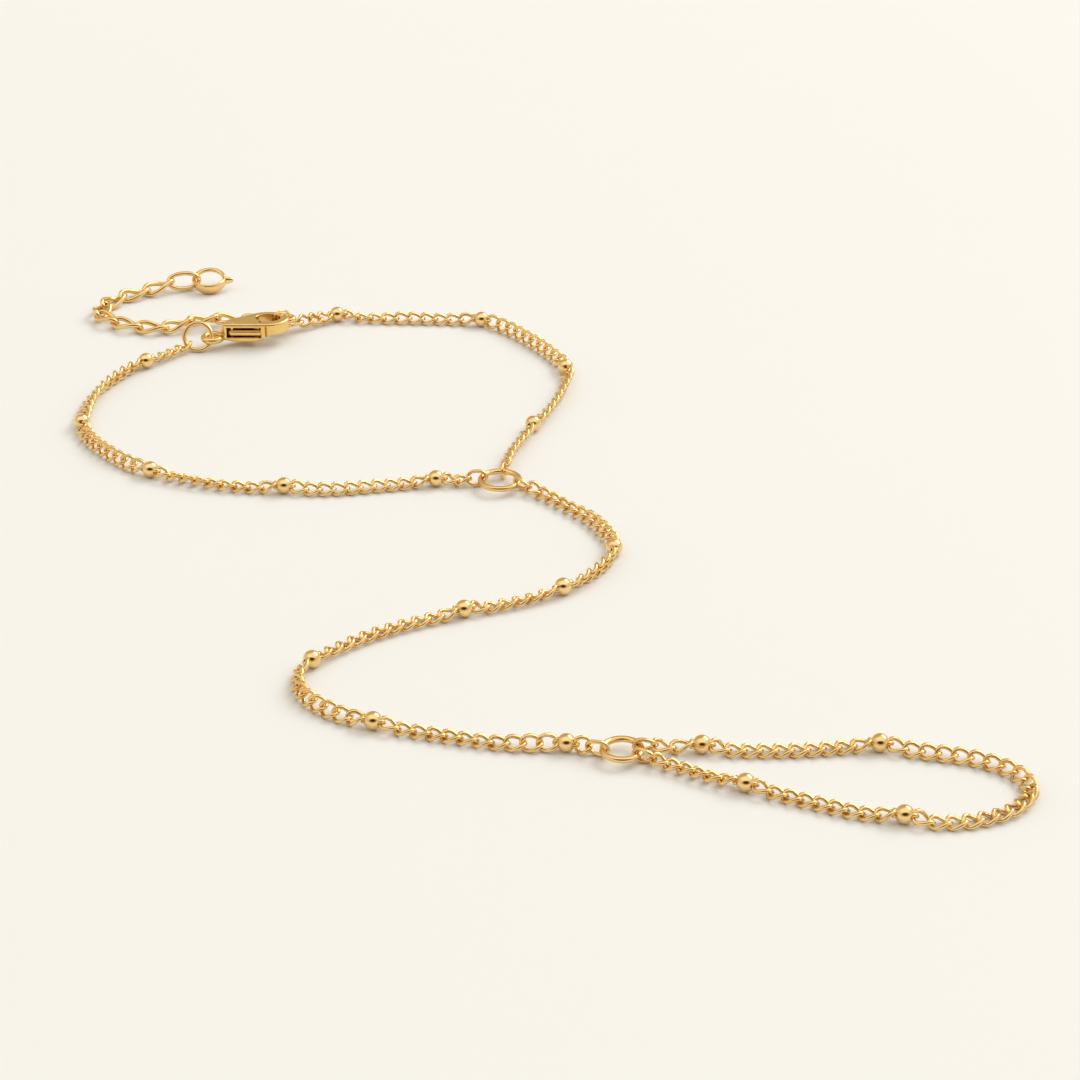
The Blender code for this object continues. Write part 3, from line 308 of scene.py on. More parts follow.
# The route of each chain, seen from above, in millimetres. The columns are x, y, how far
# the chain is lifted off the floor and how far it is rolled about its own length in degrees, with
# True at the end where a bead is threaded. The end points at the rings come from the rings.
ROUTES = {
    "wrist_left": (
        (-47.3, 47.6, 0.1, 20), (-49.1, 45.8, 0, 35, True), (-50.6, 43.9, 0, 60),
        (-52.5, 40.6, 0, 70), (-54.2, 36.6, 0, 50), (-54.9, 32.5, 0, 30),
        (-54.8, 28.3, 0, 20, True), (-53.9, 25.0, 0, 40), (-51.7, 21.4, 0, 60),
        (-48.4, 17.8, 0, 50), (-45.2, 15.6, 0, 10, True), (-41.4, 13.9, 0, -25),
        (-36.5, 12.3, 0, -10), (-29.4, 11.5, 0, 10, True), (-24.1, 11.2, 0, 15),
        (-18.4, 12.2, 0, 10), (-12.0, 13.3, 0, 0, True),
    ),
    "wrist_right": (
        (-29.8, 57.7, 0.5, 30), (-27.9, 59.2, 0.1, 20), (-26.1, 60.1, 0, 0, True),
        (-22.9, 59.8, 0, -10), (-17.5, 59.5, 0, 20), (-12.5, 59.3, 0, 10),
        (-7.5, 58.5, 0, 30, True), (-4.8, 56.6, 0, 50), (-1.2, 52.1, 0, 60),
        (1.7, 47.6, 0, 40), (3.2, 44.0, 0, 20, True), (3.3, 41.0, 0, 50),
        (2.6, 36.8, 0, 70), (1.1, 32.1, 0, 50), (-0.8, 27.8, 0, 30, True),
        (-2.2, 23.9, 0, 50), (-3.5, 19.8, 0.1, 60),
    ),
    "hand": (
        (0.2, 10.2, 0, 10), (3.0, 7.2, 0, 0), (5.9, 3.5, 0, 20),
        (8.2, -3.5, 0, 60, True), (7.3, -6.9, 0, 80), (5.1, -10.2, 0, 60),
        (2.5, -12.5, 0, 30, True), (-1.8, -15.0, 0, 20), (-8.1, -17.4, 0, 0, True),
        (-13.2, -19.7, 0, 10), (-18.7, -23.1, 0, 10), (-23.6, -28.1, 0, 30, True),
        (-24.9, -31.2, 0, 60), (-24.1, -35.1, 0, 60), (-20.8, -38.4, 0, 40),
        (-16.7, -40.3, 0, 0, True), (-11.5, -41.9, 0, 0), (-5.0, -43.7, 0, 0),
        (-0.9, -44.4, 0, 40), (2.6, -44.5, 0, 60, True),
    ),
    "finger": (
        (12.8, -44.7, 0, 0), (16.0, -44.8, 0, 0, True), (19.0, -45.2, 0, 0),
        (25.3, -45.2, 0, 0), (33.6, -44.5, 0, 0, True), (37.9, -45.7, 0, 20),
        (42.8, -47.0, 0, 20), (46.4, -49.5, 0, 20), (47.4, -52.3, 0, 20),
        (45.7, -55.7, 0, 15), (41.5, -57.8, 0, 0), (37.7, -58.2, 0, 0),
        (34.7, -57.4, 0, 0, True), (30.9, -56.6, 0, 0), (25.5, -54.3, 0, 0),
        (19.9, -51.8, 0, 10, True), (16.4, -50.2, 0, 20), (13.2, -48.2, 0, 10),
    ),
    "extension": (
        (-35.6, 58.4, 0.1, 0), (-39.0, 58.5, 0.1, 0), (-43.2, 57.9, 0.5, 20),
        (-46.9, 56.3, 0.1, 0), (-50.3, 56.4, 0, 0), (-54.2, 57.8, 0, 10),
        (-56.7, 60.0, 0, 10), (-56.7, 62.9, 0, 0), (-55.0, 65.9, 0, 0),
        (-50.6, 68.7, 0, 0), (-47.2, 70.2, 0, 0), (-43.55, 70.4, 0, 0),
    ),
}

# Outline of the clasp seen from above, as shares of its length and of its broadest width
CLASP_OUTLINE = (
    (0.00, 0.03), (0.02, 0.00), (0.68, 0.00), (0.80, 0.06), (0.91, 0.19), (0.98, 0.38), (1.00, 0.56),
    (0.96, 0.75), (0.88, 0.89), (0.77, 0.97), (0.65, 1.00), (0.52, 0.95), (0.36, 0.78), (0.20, 0.58),
    (0.08, 0.42), (0.01, 0.24),
)
BEAD_RADIUS = BEAD_DIAMETER / 2
WIRE_RADIUS = LINK_WIRE / 2
JUNCTION_RADIUS = JUNCTION_WIRE / 2
COARSE_RADIUS = COARSE_WIRE / 2
LINK_HALF = (LINK_WIDTH - LINK_WIRE) / 2
COARSE_HALF = (COARSE_WIDTH - COARSE_WIRE) / 2
STEM_REACH = BEAD_RADIUS + STEM_OVERHANG * WIRE_RADIUS
STEM_HALF = (STEM_WIDTH - LINK_WIRE) / 2
END_LINK_SPAN = END_LINK_STRETCH * LINK_PITCH
RING_REACH = JUNCTION_RADIUS + WIRE_RADIUS + FIT_GAP
JUNCTION_HEIGHT = max(LINK_WIDTH / 2, LINK_WIRE + JUNCTION_RADIUS + FIT_GAP) + FLOOR_GAP
END_RING_RADIUS = (END_RING_DIAMETER - END_RING_WIRE) / 2
END_RING_TURN = math.radians(END_RING_LEAN)
END_RING_DEPTH = END_RING_RADIUS * math.sin(END_RING_TURN) + END_RING_FLANGE / 2 * math.cos(END_RING_TURN)
END_RING_HEIGHT = max(COARSE_WIDTH / 2, END_RING_DEPTH) + FLOOR_GAP


def unit(vector):
    """The vector at length one."""
    return np.asarray(vector, float) / np.linalg.norm(vector)


def smooth_curve(points, step=0.1):
    """A curve through the points, sampled finely: Catmull-Rom with chord spacing."""
    pts = np.asarray(points, float)
    chord = np.sqrt(np.linalg.norm(np.diff(pts[:, :2], axis=0), axis=1))
    first = pts[0] + (pts[0] - pts[1])
    last = pts[-1] + (pts[-1] - pts[-2])
    full = np.vstack([first, pts, last])
    steps = np.concatenate([chord[:1], chord, chord[-1:]])
    knots = np.concatenate([[0], np.cumsum(steps)])
    rows = []
    for i in range(1, len(full) - 2):
        p0, p1, p2, p3 = full[i - 1:i + 3]
        t0, t1, t2, t3 = knots[i - 1:i + 3]
        count = max(2, int(np.linalg.norm((p2 - p1)[:2]) / step))
        t = np.linspace(t1, t2, count, endpoint=False)[:, None]
        a1 = (t1 - t) / (t1 - t0) * p0 + (t - t0) / (t1 - t0) * p1
        a2 = (t2 - t) / (t2 - t1) * p1 + (t - t1) / (t2 - t1) * p2
        a3 = (t3 - t) / (t3 - t2) * p2 + (t - t2) / (t3 - t2) * p3
        b1 = (t2 - t) / (t2 - t0) * a1 + (t - t0) / (t2 - t0) * a2
        b2 = (t3 - t) / (t3 - t1) * a2 + (t - t1) / (t3 - t1) * a3
        rows.append((t2 - t) / (t2 - t1) * b1 + (t - t1) / (t2 - t1) * b2)
    rows.append(full[-2][None])
    return np.vstack(rows)


def half_height(roll, half, radius):
    """How high the middle of a rolled curb chain lies above the floor."""
    t = np.linspace(0, 2 * math.pi, 90)
    twist = CURB_TWIST * np.cos(t)
    flat = half * np.sin(t) * np.cos(twist)
    rise = half * np.sin(t) * np.sin(twist)
    return np.abs(flat[None] * np.sin(roll)[:, None] + rise[None] * np.cos(roll)[:, None]).max(1) + radius


def eased(value):
    """A smooth rise from 0 to 1, flat at both ends."""
    share = np.clip(value, 0, 1)
    return share * share * (3 - 2 * share)


class Strand:
    """A chain laid along its route: gives a place and a roll at any length along it."""

    def __init__(self, rows, start, end, half, radius):
        table = [(*start, 0, rows[0][3]), *rows, (*end, 0, rows[-1][3])]
        plan = smooth_curve([row[:4] for row in table])
        plan[:, 2] = np.maximum(plan[:, 2], 0)
        steps = np.linalg.norm(np.diff(plan[:, :2], axis=0), axis=1)
        self.length_at = np.concatenate([[0], np.cumsum(steps)])
        self.roll_at = np.radians(plan[:, 3])
        self.flat = plan[:, :2]
        self.length = self.length_at[-1]
        self.beads = [self.nearest(row) for row in table if len(row) > 4]
        self.height = half_height(self.roll_at, half, radius) + plan[:, 2] + FLOOR_GAP

    def nearest(self, row):
        """The length along the route at which it passes a point of its table."""
        return self.length_at[np.linalg.norm(self.flat - np.array(row[:2]), axis=1).argmin()]

    def raise_near(self, place, height, near, far):
        """Brings the chain to a height at one place, and back to the floor further off."""
        distance = np.abs(self.length_at - place)
        self.height += eased((far - distance) / (far - near)) * (height - self.height)

    def point(self, length):
        """The place at a length along the route."""
        x = np.interp(length, self.length_at, self.flat[:, 0])
        y = np.interp(length, self.length_at, self.flat[:, 1])
        z = np.interp(length, self.length_at, self.height)
        return np.array([x, y, z])

    def roll(self, length):
        """The roll at a length along the route."""
        return float(np.interp(length, self.length_at, self.roll_at))


def frame_at(start, end):
    """The direction from one joint to the next, and the way that is up beside it."""
    along = unit(end - start)
    up = unit(np.array([0, 0, 1]) - along[2] * along)
    return along, up


def seat(centre, radius, angle):
    """The point of a flat ring's wire at an angle, seen from above."""
    turn = math.radians(angle)
    return (centre[0] + radius * math.cos(turn), centre[1] + radius * math.sin(turn))


def strand_links(strand, start_reach, end_reach):
    """The links of a strand, in order: each is its two ends along the route and its kind."""
    stem_joint = STEM_REACH - BOW_STEP / 2
    first = END_LINK_SPAN - start_reach
    last = strand.length + end_reach - END_LINK_SPAN
    stops = [(first, None)]
    for place in strand.beads:
        stops.append((place - stem_joint, place + stem_joint))
    stops.append((last, None))
    joints = [(-start_reach, first, "end")]
    for (_, after), (before, _) in zip([(None, first)] + stops[1:-1], stops[1:]):
        count = max(1, round((before - after) / LINK_PITCH))
        edges = np.linspace(after, before, count + 1)
        joints += [(a, b, "plain") for a, b in zip(edges[:-1], edges[1:])]
        if before != last:
            joints.append((before, before + 2 * stem_joint, "stem"))
    joints.append((last, strand.length + end_reach, "end"))
    return joints


def beyond(strand, length, inside):
    """A place on the route, or straight on past either end of it."""
    if length < 0:
        along, _ = frame_at(strand.point(0), strand.point(inside))
        return strand.point(0) + along * length
    if length > strand.length:
        along, _ = frame_at(strand.point(strand.length - inside), strand.point(strand.length))
        return strand.point(strand.length) + along * (length - strand.length)
    return strand.point(length)


def clasp_outline():
    """The clasp's outline from above, measured from its own corner."""
    return np.array(CLASP_OUTLINE) * (CLASP_LENGTH, CLASP_BROAD)


def hook_opening_centre():
    """The middle of the hook's opening, measured from the clasp's corner."""
    x = CLASP_LENGTH - HOOK_RIM_END - HOOK_OPENING_LENGTH / 2
    y = HOOK_RIM_FRONT + HOOK_OPENING_WIDTH / 2
    return np.array([x, y])


def hook_rim(out):
    """How far the hook's rim starts and ends from the middle of its opening, in one direction."""
    inner = 1 / math.hypot(2 * out[0] / HOOK_OPENING_LENGTH, 2 * out[1] / HOOK_OPENING_WIDTH)
    middle = hook_opening_centre()
    outline = clasp_outline()
    for a, b in zip(outline, np.roll(outline, -1, axis=0)):
        edge = b - a
        across = out[1] * edge[0] - out[0] * edge[1]
        offset = a - middle
        if abs(across) < 1e-9:
            continue
        reach = (offset[1] * edge[0] - offset[0] * edge[1]) / across
        share = (out[0] * offset[1] - out[1] * offset[0]) / across
        if reach > 0 and 0 <= share <= 1:
            return inner, reach
    return inner, inner


def hook_link_place():
    """Centre of the link in the hook, its outward direction, and its reach inwards and outwards."""
    turn = math.radians(HOOK_LINK_TURN)
    out = np.array([math.cos(turn), math.sin(turn), 0])
    inner, outer = hook_rim(out)
    middle = hook_opening_centre() + out[:2] * (inner + outer) / 2
    height = (HOOK_UNDERCUT + CLASP_HEIGHT - HOOK_LINK_DROP) / 2
    centre = np.array(CLASP_PLACE) + (middle[0], middle[1], height)
    half_rim = (outer - inner) / 2
    inwards = half_rim + FIT_GAP + HOOK_LINK_WIRE / 2
    outwards = half_rim + HOOK_LINK_ROOM + HOOK_LINK_WIRE / 2
    half = (CLASP_HEIGHT - HOOK_UNDERCUT + HOOK_LINK_DROP) / 2 + 2 * FIT_GAP + HOOK_LINK_WIRE / 2
    return centre, out, inwards, outwards, half


def ring_a_point(angle):
    """The centre of ring A's wire at an angle round it: it leans back from the floor."""
    turn = math.radians(angle)
    lean = math.radians(RING_A_TILT)
    radius = (RING_A_DIAMETER - RING_A_WIRE) / 2
    offset = (math.cos(turn), math.sin(turn) * math.cos(lean), math.sin(turn) * math.sin(lean))
    return np.array(RING_A_CENTRE) + radius * np.array(offset)


def lay_strands():
    """Every strand on its route, with its height set at its ends and its beads."""
    ring_b = (RING_B_DIAMETER - JUNCTION_WIRE) / 2
    ring_c = (RING_C_DIAMETER - JUNCTION_WIRE) / 2
    centre, out, _, outwards, half = hook_link_place()
    hook = centre + out * outwards
    hook_low = centre[2] - half + HOOK_LINK_WIRE / 2
    wrist_height = hook_low + RUNNING_GAP + WIRE_RADIUS
    extension_height = wrist_height + WIRE_RADIUS + RUNNING_GAP + COARSE_RADIUS
    ring_a = ring_a_point(SEAT_RING_A)
    turns_b = (SEAT_WRIST_LEFT, SEAT_WRIST_RIGHT, SEAT_HAND_START)
    turns_c = (SEAT_HAND_END, SEAT_FINGER_START, SEAT_FINGER_END)
    on_b = [seat(RING_B_CENTRE, ring_b, turn) for turn in turns_b]
    on_c = [seat(RING_C_CENTRE, ring_c, turn) for turn in turns_c]
    ends = {
        "wrist_left": (ring_a[:2], on_b[0]),
        "wrist_right": (hook[:2], on_b[1]),
        "hand": (on_b[2], on_c[0]),
        "finger": (on_c[1], on_c[2]),
    }
    laid = {}
    for name, (start, end) in ends.items():
        strand = Strand(ROUTES[name], start, end, LINK_HALF, WIRE_RADIUS)
        for place in strand.beads:
            strand.raise_near(place, BEAD_RADIUS + FLOOR_GAP, BEAD_RADIUS, 3 * BEAD_RADIUS)
        if name == "wrist_left":
            strand.raise_near(0, max(ring_a[2], LINK_HALF), 0, 2 * LINK_PITCH)
        elif name == "wrist_right":
            strand.raise_near(0, wrist_height, 0, 3 * LINK_PITCH)
        else:
            strand.raise_near(0, JUNCTION_HEIGHT, LINK_PITCH / 2, 2 * LINK_PITCH)
        strand.raise_near(strand.length, JUNCTION_HEIGHT, LINK_PITCH / 2, 2 * LINK_PITCH)
        laid[name] = strand
    *rows, tail = ROUTES["extension"]
    strand = Strand(rows, hook[:2], tail[:2], COARSE_HALF, COARSE_RADIUS)
    strand.raise_near(0, extension_height, 0, COARSE_PITCH)
    ring_room = END_RING_DIAMETER
    strand.raise_near(strand.length, END_RING_HEIGHT, ring_room, ring_room + COARSE_PITCH)
    laid["extension"] = strand
    return laid


def strand_ends(name):
    """How far a strand's end links reach past their rings, and how each end is turned."""
    quarter = math.pi / 2
    hook_reach = HOOK_LINK_WIRE / 2 + WIRE_RADIUS + FIT_GAP
    ring_a_reach = RING_A_WIRE / 2 + WIRE_RADIUS + FIT_GAP
    if name == "wrist_left":
        return (ring_a_reach, RING_REACH), (math.radians(RING_A_LINK_TURN), quarter)
    if name == "wrist_right":
        return (hook_reach, RING_REACH), (0.0, quarter)
    return (RING_REACH, RING_REACH), (-quarter, quarter)


def wire_loop(centres, radial, radii, sides):
    """Rings of points round a closed wire, the first point of each outwards.

    A ring lies square to the wire's direction: cosine times the radius outwards plus sine times the
    radius sideways. The radius may be one number, one for each way, or such a pair at each centre.
    """
    ahead = np.roll(centres, -1, axis=0) - np.roll(centres, 1, axis=0)
    along = ahead / np.linalg.norm(ahead, axis=1)[:, None]
    out = radial - (radial * along).sum(1)[:, None] * along
    out /= np.linalg.norm(out, axis=1)[:, None]
    side = np.cross(along, out)
    angles = 2 * math.pi * (np.arange(sides) + 0.5) / sides
    radii = np.broadcast_to(np.asarray(radii, float), (len(centres), 2))
    across = radii[:, :1, None] * np.cos(angles)[None, :, None] * out[:, None]
    return centres[:, None] + across + radii[:, 1:, None] * np.sin(angles)[None, :, None] * side[:, None]


def loop_faces(count, sides, copies=1):
    """Quads over a grid that closes on itself both ways, for so many grids one after the other."""
    i, j = np.meshgrid(np.arange(count), np.arange(sides), indexing="ij")
    ahead = (i + 1) % count * sides
    turn = (j + 1) % sides
    here = i * sides
    quads = np.stack([here + j, here + turn, ahead + turn, ahead + j], axis=-1).reshape(-1, 4)
    return (quads + np.arange(copies)[:, None, None] * count * sides).reshape(-1, 4)


def rounded(angles, power):
    """Cosine and sine drawn out towards a rounded square, by a power under one."""
    cos, sin = np.cos(angles), np.sin(angles)
    return np.sign(cos) * np.abs(cos) ** power, np.sign(sin) * np.abs(sin) ** power


def oval_shape(reach, half, steps):
    """The line of an oval link: along is reach times cosine, across is half times sine, both rounded."""
    angles = 2 * math.pi * (np.arange(steps) + 0.5) / steps
    level, rise = rounded(angles, 2 / LINK_SQUARENESS)
    return np.stack([reach / level.max() * level, half * rise], axis=1)


def stem_shape(reach, half, steps):
    """The line of a bead's link: an eye at each end, and a pinched middle through the bore."""
    angles = 2 * math.pi * (np.arange(steps) + 0.5) / steps
    x = reach / np.cos(angles[0]) * np.cos(angles)
    inside = np.clip((reach - np.abs(x)) / (2 * STEM_EYE), 0, 1)
    eye = STEM_EYE * np.sqrt(np.clip(1 - (2 * inside - 1) ** 2, 0, 1))
    pinch = np.clip((inside - STEM_PINCH) / (1 - STEM_PINCH), 0, 1) ** 2
    return np.stack([x, np.sign(np.sin(angles)) * (eye * (1 - pinch) + half * pinch)], axis=1)


def twisted_link(shape, centre, along, up, turn_left, turn_right, radius, sides):
    """Rings of points of one link, turned evenly from one end's angle to the other's."""
    reach = shape[:, 0].max()
    share = (shape[:, 0] + reach) / (2 * reach)
    turn = turn_left + (turn_right - turn_left) * share
    across = np.cross(up, along)
    spread = np.cos(turn)[:, None] * across + np.sin(turn)[:, None] * up
    centres = centre + shape[:, :1] * along + shape[:, 1:] * spread
    return wire_loop(centres, centres - centre, radius, sides)


def link_rings(strand, row, start_turn, end_turn, steps, sides):
    """Ring points of one link of a strand; an end link is turned to suit what it hangs on."""
    a, b, kind = row
    start = beyond(strand, a, LINK_PITCH)
    end = beyond(strand, b, LINK_PITCH)
    along, up = frame_at(start, end)
    first = kind == "end" and a < 0
    last = kind == "end" and b > strand.length
    turn_left = start_turn if first else strand.roll(a) + CURB_TWIST
    turn_right = end_turn if last else strand.roll(b) - CURB_TWIST
    left = start - along * (0 if first else BOW_STEP / 2)
    right = end + along * (0 if last else BOW_STEP / 2)
    reach = np.linalg.norm(right - left) / 2
    shape = stem_shape(reach, STEM_HALF, steps) if kind == "stem" else oval_shape(reach, LINK_HALF, steps)
    radius = LINK_FACET if sides == LINK_SIDES else END_LINK_RADIUS
    return twisted_link(shape, (left + right) / 2, along, up, turn_left, turn_right, radius, sides)


def gold_finish(name, colour, worn, roughness, patches, grain):
    """Gold plate: its colour drifts from one tone to another over soft patches, and so does its polish.

    Roughness is the low value plus a share of the span that follows the same noise; grain sets how
    deep the fine tumbling marks are that a Bump node adds.
    """
    material, shader, places = finish_of(name, {"Metallic": 1.0})
    cloud = places.noise(patches, 3.0)
    feed(shader, "Base Color", cloud.step(*GOLD_TONES).mix(colour, worn))
    feed(shader, "Roughness", cloud * (roughness[1] - roughness[0]) + roughness[0])
    marks = places.noise(grain[0], 2.0)
    bump = marks.node("ShaderNodeBump", {}, {"Strength": 1.0, "Distance": grain[1] * MM, "Height": marks})
    feed(shader, "Normal", bump)
    return material


def fine_piece(item, node, body="bracelet"):
    """Puts a finished object in the place of its solid, on the body that carries it."""
    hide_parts(node)
    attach(item, body)


def closed_piece(name, grid, material, node):
    """A piece whose grid of points closes on itself both ways, in the place of its solid."""
    fine_piece(mesh_object(name, grid + SHIFT, loop_faces(*grid.shape[:2]), material), node)


GOLD_TONES = (0.35, 0.68)
CHAIN_GOLD = (0.93, 0.66, 0.29)
CHAIN_GOLD_WORN = (0.86, 0.57, 0.22)
chain_tones = (CHAIN_GOLD, CHAIN_GOLD_WORN)
chain_gold = gold_finish("polished chain gold", *chain_tones, (0.06, 0.15), 420.0, (5200.0, 0.002))

strands = lay_strands()
for name in ("wrist_left", "wrist_right", "hand", "finger"):
    strand = strands[name]
    reaches, turns = strand_ends(name)
    rows = strand_links(strand, *reaches)
    grids = np.stack([link_rings(strand, row, *turns, LINK_STEPS, LINK_SIDES) for row in rows])
    ends = () if name == "finger" else ((0, "start"), (len(rows) - 1, "end"))
    for index, tag in ends:
        grid = link_rings(strand, rows[index], *turns, 2 * LINK_STEPS, 2 * LINK_SIDES)
        closed_piece(f"{name}_{tag}_loop", grid, chain_gold, f"{name}_{tag}_link")
    body_links = grids if name == "finger" else grids[1:-1]
    faces = loop_faces(LINK_STEPS, LINK_SIDES, len(body_links))
    run = mesh_object(f"{name}_links", body_links + SHIFT, faces, chain_gold)
    fine_piece(run, f"{name}_chain")

# The beads
# Round beads of 1.92 mm with a bore of 0.8 mm whose lips are turned in, threaded at uneven steps along
# every strand. They are the brightest thing on the chain: mirror-polished before plating.
BEAD_AROUND = 40
BEAD_ARC = 20
LIP_STEPS = 5
LIP = 0.05
BEAD_GOLD = (0.95, 0.69, 0.33)
BEAD_GOLD_WORN = (0.90, 0.62, 0.26)
bead_tones = (BEAD_GOLD, BEAD_GOLD_WORN)
bead_gold = gold_finish("mirror-polished bead gold", *bead_tones, (0.05, 0.12), 500.0, (3800.0, 0.001))


def bead_profile():
    """Along and outward distances of a drilled ball: the ball's arc, a turned lip, the bore and back."""
    mouth = math.acos((BALL_BORE + LIP) / BEAD_RADIUS)
    arc = np.linspace(-mouth, mouth, BEAD_ARC)
    ball = np.stack([BEAD_RADIUS * np.sin(arc), BEAD_RADIUS * np.cos(arc)], axis=1)
    edge = ball[-1]
    corner = np.array([edge[0] + LIP / 2, BALL_BORE])
    inner = np.array([edge[0] - LIP, BALL_BORE])
    t = np.linspace(0, 1, LIP_STEPS + 1)[1:, None]
    lip = (1 - t) ** 2 * edge + 2 * t * (1 - t) * corner + t * t * inner
    return np.vstack([ball, lip, (lip * (-1, 1))[::-1]])


profile = bead_profile()
angles = 2 * math.pi * np.arange(BEAD_AROUND) / BEAD_AROUND
for name in ("wrist_left", "wrist_right", "hand", "finger"):
    strand = strands[name]
    for number, place in enumerate(strand.beads, 1):
        along, up = frame_at(strand.point(place - BEAD_RADIUS), strand.point(place + BEAD_RADIUS))
        around = np.cos(angles)[:, None] * np.cross(up, along) + np.sin(angles)[:, None] * up
        grid = strand.point(place) + profile[:, None, :1] * along + profile[:, None, 1:] * around[None]
        closed_piece(f"{name}_ball_{number}", grid, bead_gold, f"{name}_bead_{number}")

# The jump rings
# Three rings of round wire, closed and soldered: A stands in the clasp's eye, B joins the two wrist
# halves to the hand strand, and C joins the hand strand to the finger loop.
RING_STEPS = 96
RING_SIDES = 20
ring_gold = gold_finish("ring gold", *chain_tones, (0.08, 0.18), 300.0, (4200.0, 0.002))


def round_ring(centre, outer, wire, normal):
    """A circle of wire: centre plus the ring's radius times cosine and sine in its own plane."""
    normal = unit(normal)
    first = unit(np.cross(normal, (0, 1, 0.2)))
    angles = 2 * math.pi * np.arange(RING_STEPS) / RING_STEPS
    radial = np.cos(angles)[:, None] * first + np.sin(angles)[:, None] * np.cross(normal, first)
    centres = np.asarray(centre, float) + (outer - wire) / 2 * radial
    return wire_loop(centres, radial, wire / 2, RING_SIDES)


lean = math.radians(RING_A_TILT)
ring_rows = (
    ("ring_a", RING_A_CENTRE, RING_A_DIAMETER, RING_A_WIRE, (0, -math.sin(lean), math.cos(lean))),
    ("ring_b", (*RING_B_CENTRE, JUNCTION_HEIGHT), RING_B_DIAMETER, JUNCTION_WIRE, (0, 0, 1)),
    ("ring_c", (*RING_C_CENTRE, JUNCTION_HEIGHT), RING_C_DIAMETER, JUNCTION_WIRE, (0, 0, 1)),
)
for name, centre, outer, wire, facing_way in ring_rows:
    closed_piece(f"jump_{name}", round_ring(centre, outer, wire, facing_way), ring_gold, name)

# The link in the hook
# A standing link hangs over the hook's rim, and the wrist chain and the extension both start from it.
# It is thin wire, bent to a rounded square and soldered.
HOOK_SQUARENESS = 3.2
HOOK_SNUG_WIRE = 0.31
HOOK_SNUG = 0.22
HOOK_SLOPE = 0.4
HOOK_STEPS = 48
HOOK_SIDES = 14

centre, out, inwards, outwards, half = hook_link_place()
angles = 2 * math.pi * (np.arange(HOOK_STEPS) + 0.5) / HOOK_STEPS
level, rise = rounded(angles, 2 / HOOK_SQUARENESS)
upright = np.array([0, 0, 1.0])
tall = (half - HOOK_SNUG / 2) * rise - HOOK_SLOPE * np.clip(level, 0, 1) * np.clip(rise, 0, 1)
offset = (outwards + inwards) / 2 * level[:, None] * out + tall[:, None] * upright
middle = centre + (outwards - inwards) / 2 * out - HOOK_SNUG / 2 * upright
grid = wire_loop(middle + offset, offset, HOOK_SNUG_WIRE / 2, HOOK_SIDES)
closed_piece("hook_joiner", grid, ring_gold, "hook_link")

# The extension chain
# Thirteen coarser links of the same twisted kind, each passed through the next, so that the hook can
# take any of them. Their wire is a little broader than deep, and the last one carries the end ring.
COARSE_STEPS = 40
COARSE_SIDES = 14
COARSE_SQUARENESS = 2.2
COARSE_SECTION = (0.285, 0.305)
COARSE_LIFT = 0.05
extension_gold = gold_finish("extension gold", *chain_tones, (0.10, 0.20), 260.0, (4200.0, 0.003))

strand = strands["extension"]
bow_step = COARSE_WIRE + RUNNING_GAP
last = strand.length - END_RING_RADIUS
first_joint = -(HOOK_LINK_WIRE / 2 + COARSE_RADIUS + RUNNING_GAP) + bow_step / 2
last_joint = last + END_RING_WIRE / 2 + COARSE_RADIUS + RUNNING_GAP - bow_step / 2
count = round(last / COARSE_PITCH)
joints = np.linspace(first_joint, last_joint, count + 1)
angles = 2 * math.pi * (np.arange(COARSE_STEPS) + 0.5) / COARSE_STEPS
level, rise = rounded(angles, 2 / COARSE_SQUARENESS)
for number, (a, b) in enumerate(zip(joints[:-1], joints[1:]), 1):
    start = beyond(strand, a, COARSE_PITCH)
    end = beyond(strand, b, COARSE_PITCH)
    along, up = frame_at(start, end)
    reach = (np.linalg.norm(end - start) + bow_step) / 2
    left = 0.0 if number == 1 else strand.roll(a) + CURB_TWIST
    right = math.pi / 2 if number == count else strand.roll(b) - CURB_TWIST
    shape = np.stack([reach / level.max() * level, COARSE_HALF * rise], axis=1)
    middle = (start + end) / 2 + (0, 0, COARSE_LIFT)
    grid = twisted_link(shape, middle, along, up, left, right, COARSE_SECTION, COARSE_SIDES)
    closed_piece(f"extension_loop_{number}", grid, extension_gold, f"extension_link_{number:02d}")

# The end ring
# The ring at the chain's free end leans on its broad near side, which is rolled out into a flange, and
# a small drawn-out tail of wire stands out at its right.
RIM_BROAD = 1.6
RIM_LIFT = 0.14
RIM_PAST = 0.15
RIM_SWELL = 0.8
TAIL_LENGTH = 1.2
TAIL_ROOT = 0.8
TAIL_TIP = 0.34
TAIL_TALL = 1.5
TAIL_NOSE = 0.85
TAIL_CLOSED = 0.0004
TAIL_STEPS = 12
TAIL_SIDES = 14


def tail_grid(root):
    """A tapered leaf: its radius falls from root to tip, is taller than wide, and closes in a nose."""
    share = np.linspace(0, 1, TAIL_STEPS)
    nose = np.sqrt(np.clip(1 - np.clip((share - TAIL_NOSE) / (1 - TAIL_NOSE), 0, 1) ** 2, TAIL_CLOSED, 1))
    radius = (TAIL_ROOT + (TAIL_TIP - TAIL_ROOT) * share) / 2 * nose
    turn = 2 * math.pi * np.arange(TAIL_SIDES) / TAIL_SIDES
    x = np.broadcast_to(root[0] + TAIL_LENGTH * share[:, None], (TAIL_STEPS, TAIL_SIDES))
    y = root[1] + radius[:, None] * np.cos(turn)
    z = root[2] + TAIL_TALL * radius[:, None] * np.sin(turn)
    return np.stack([x, y, z], axis=-1)


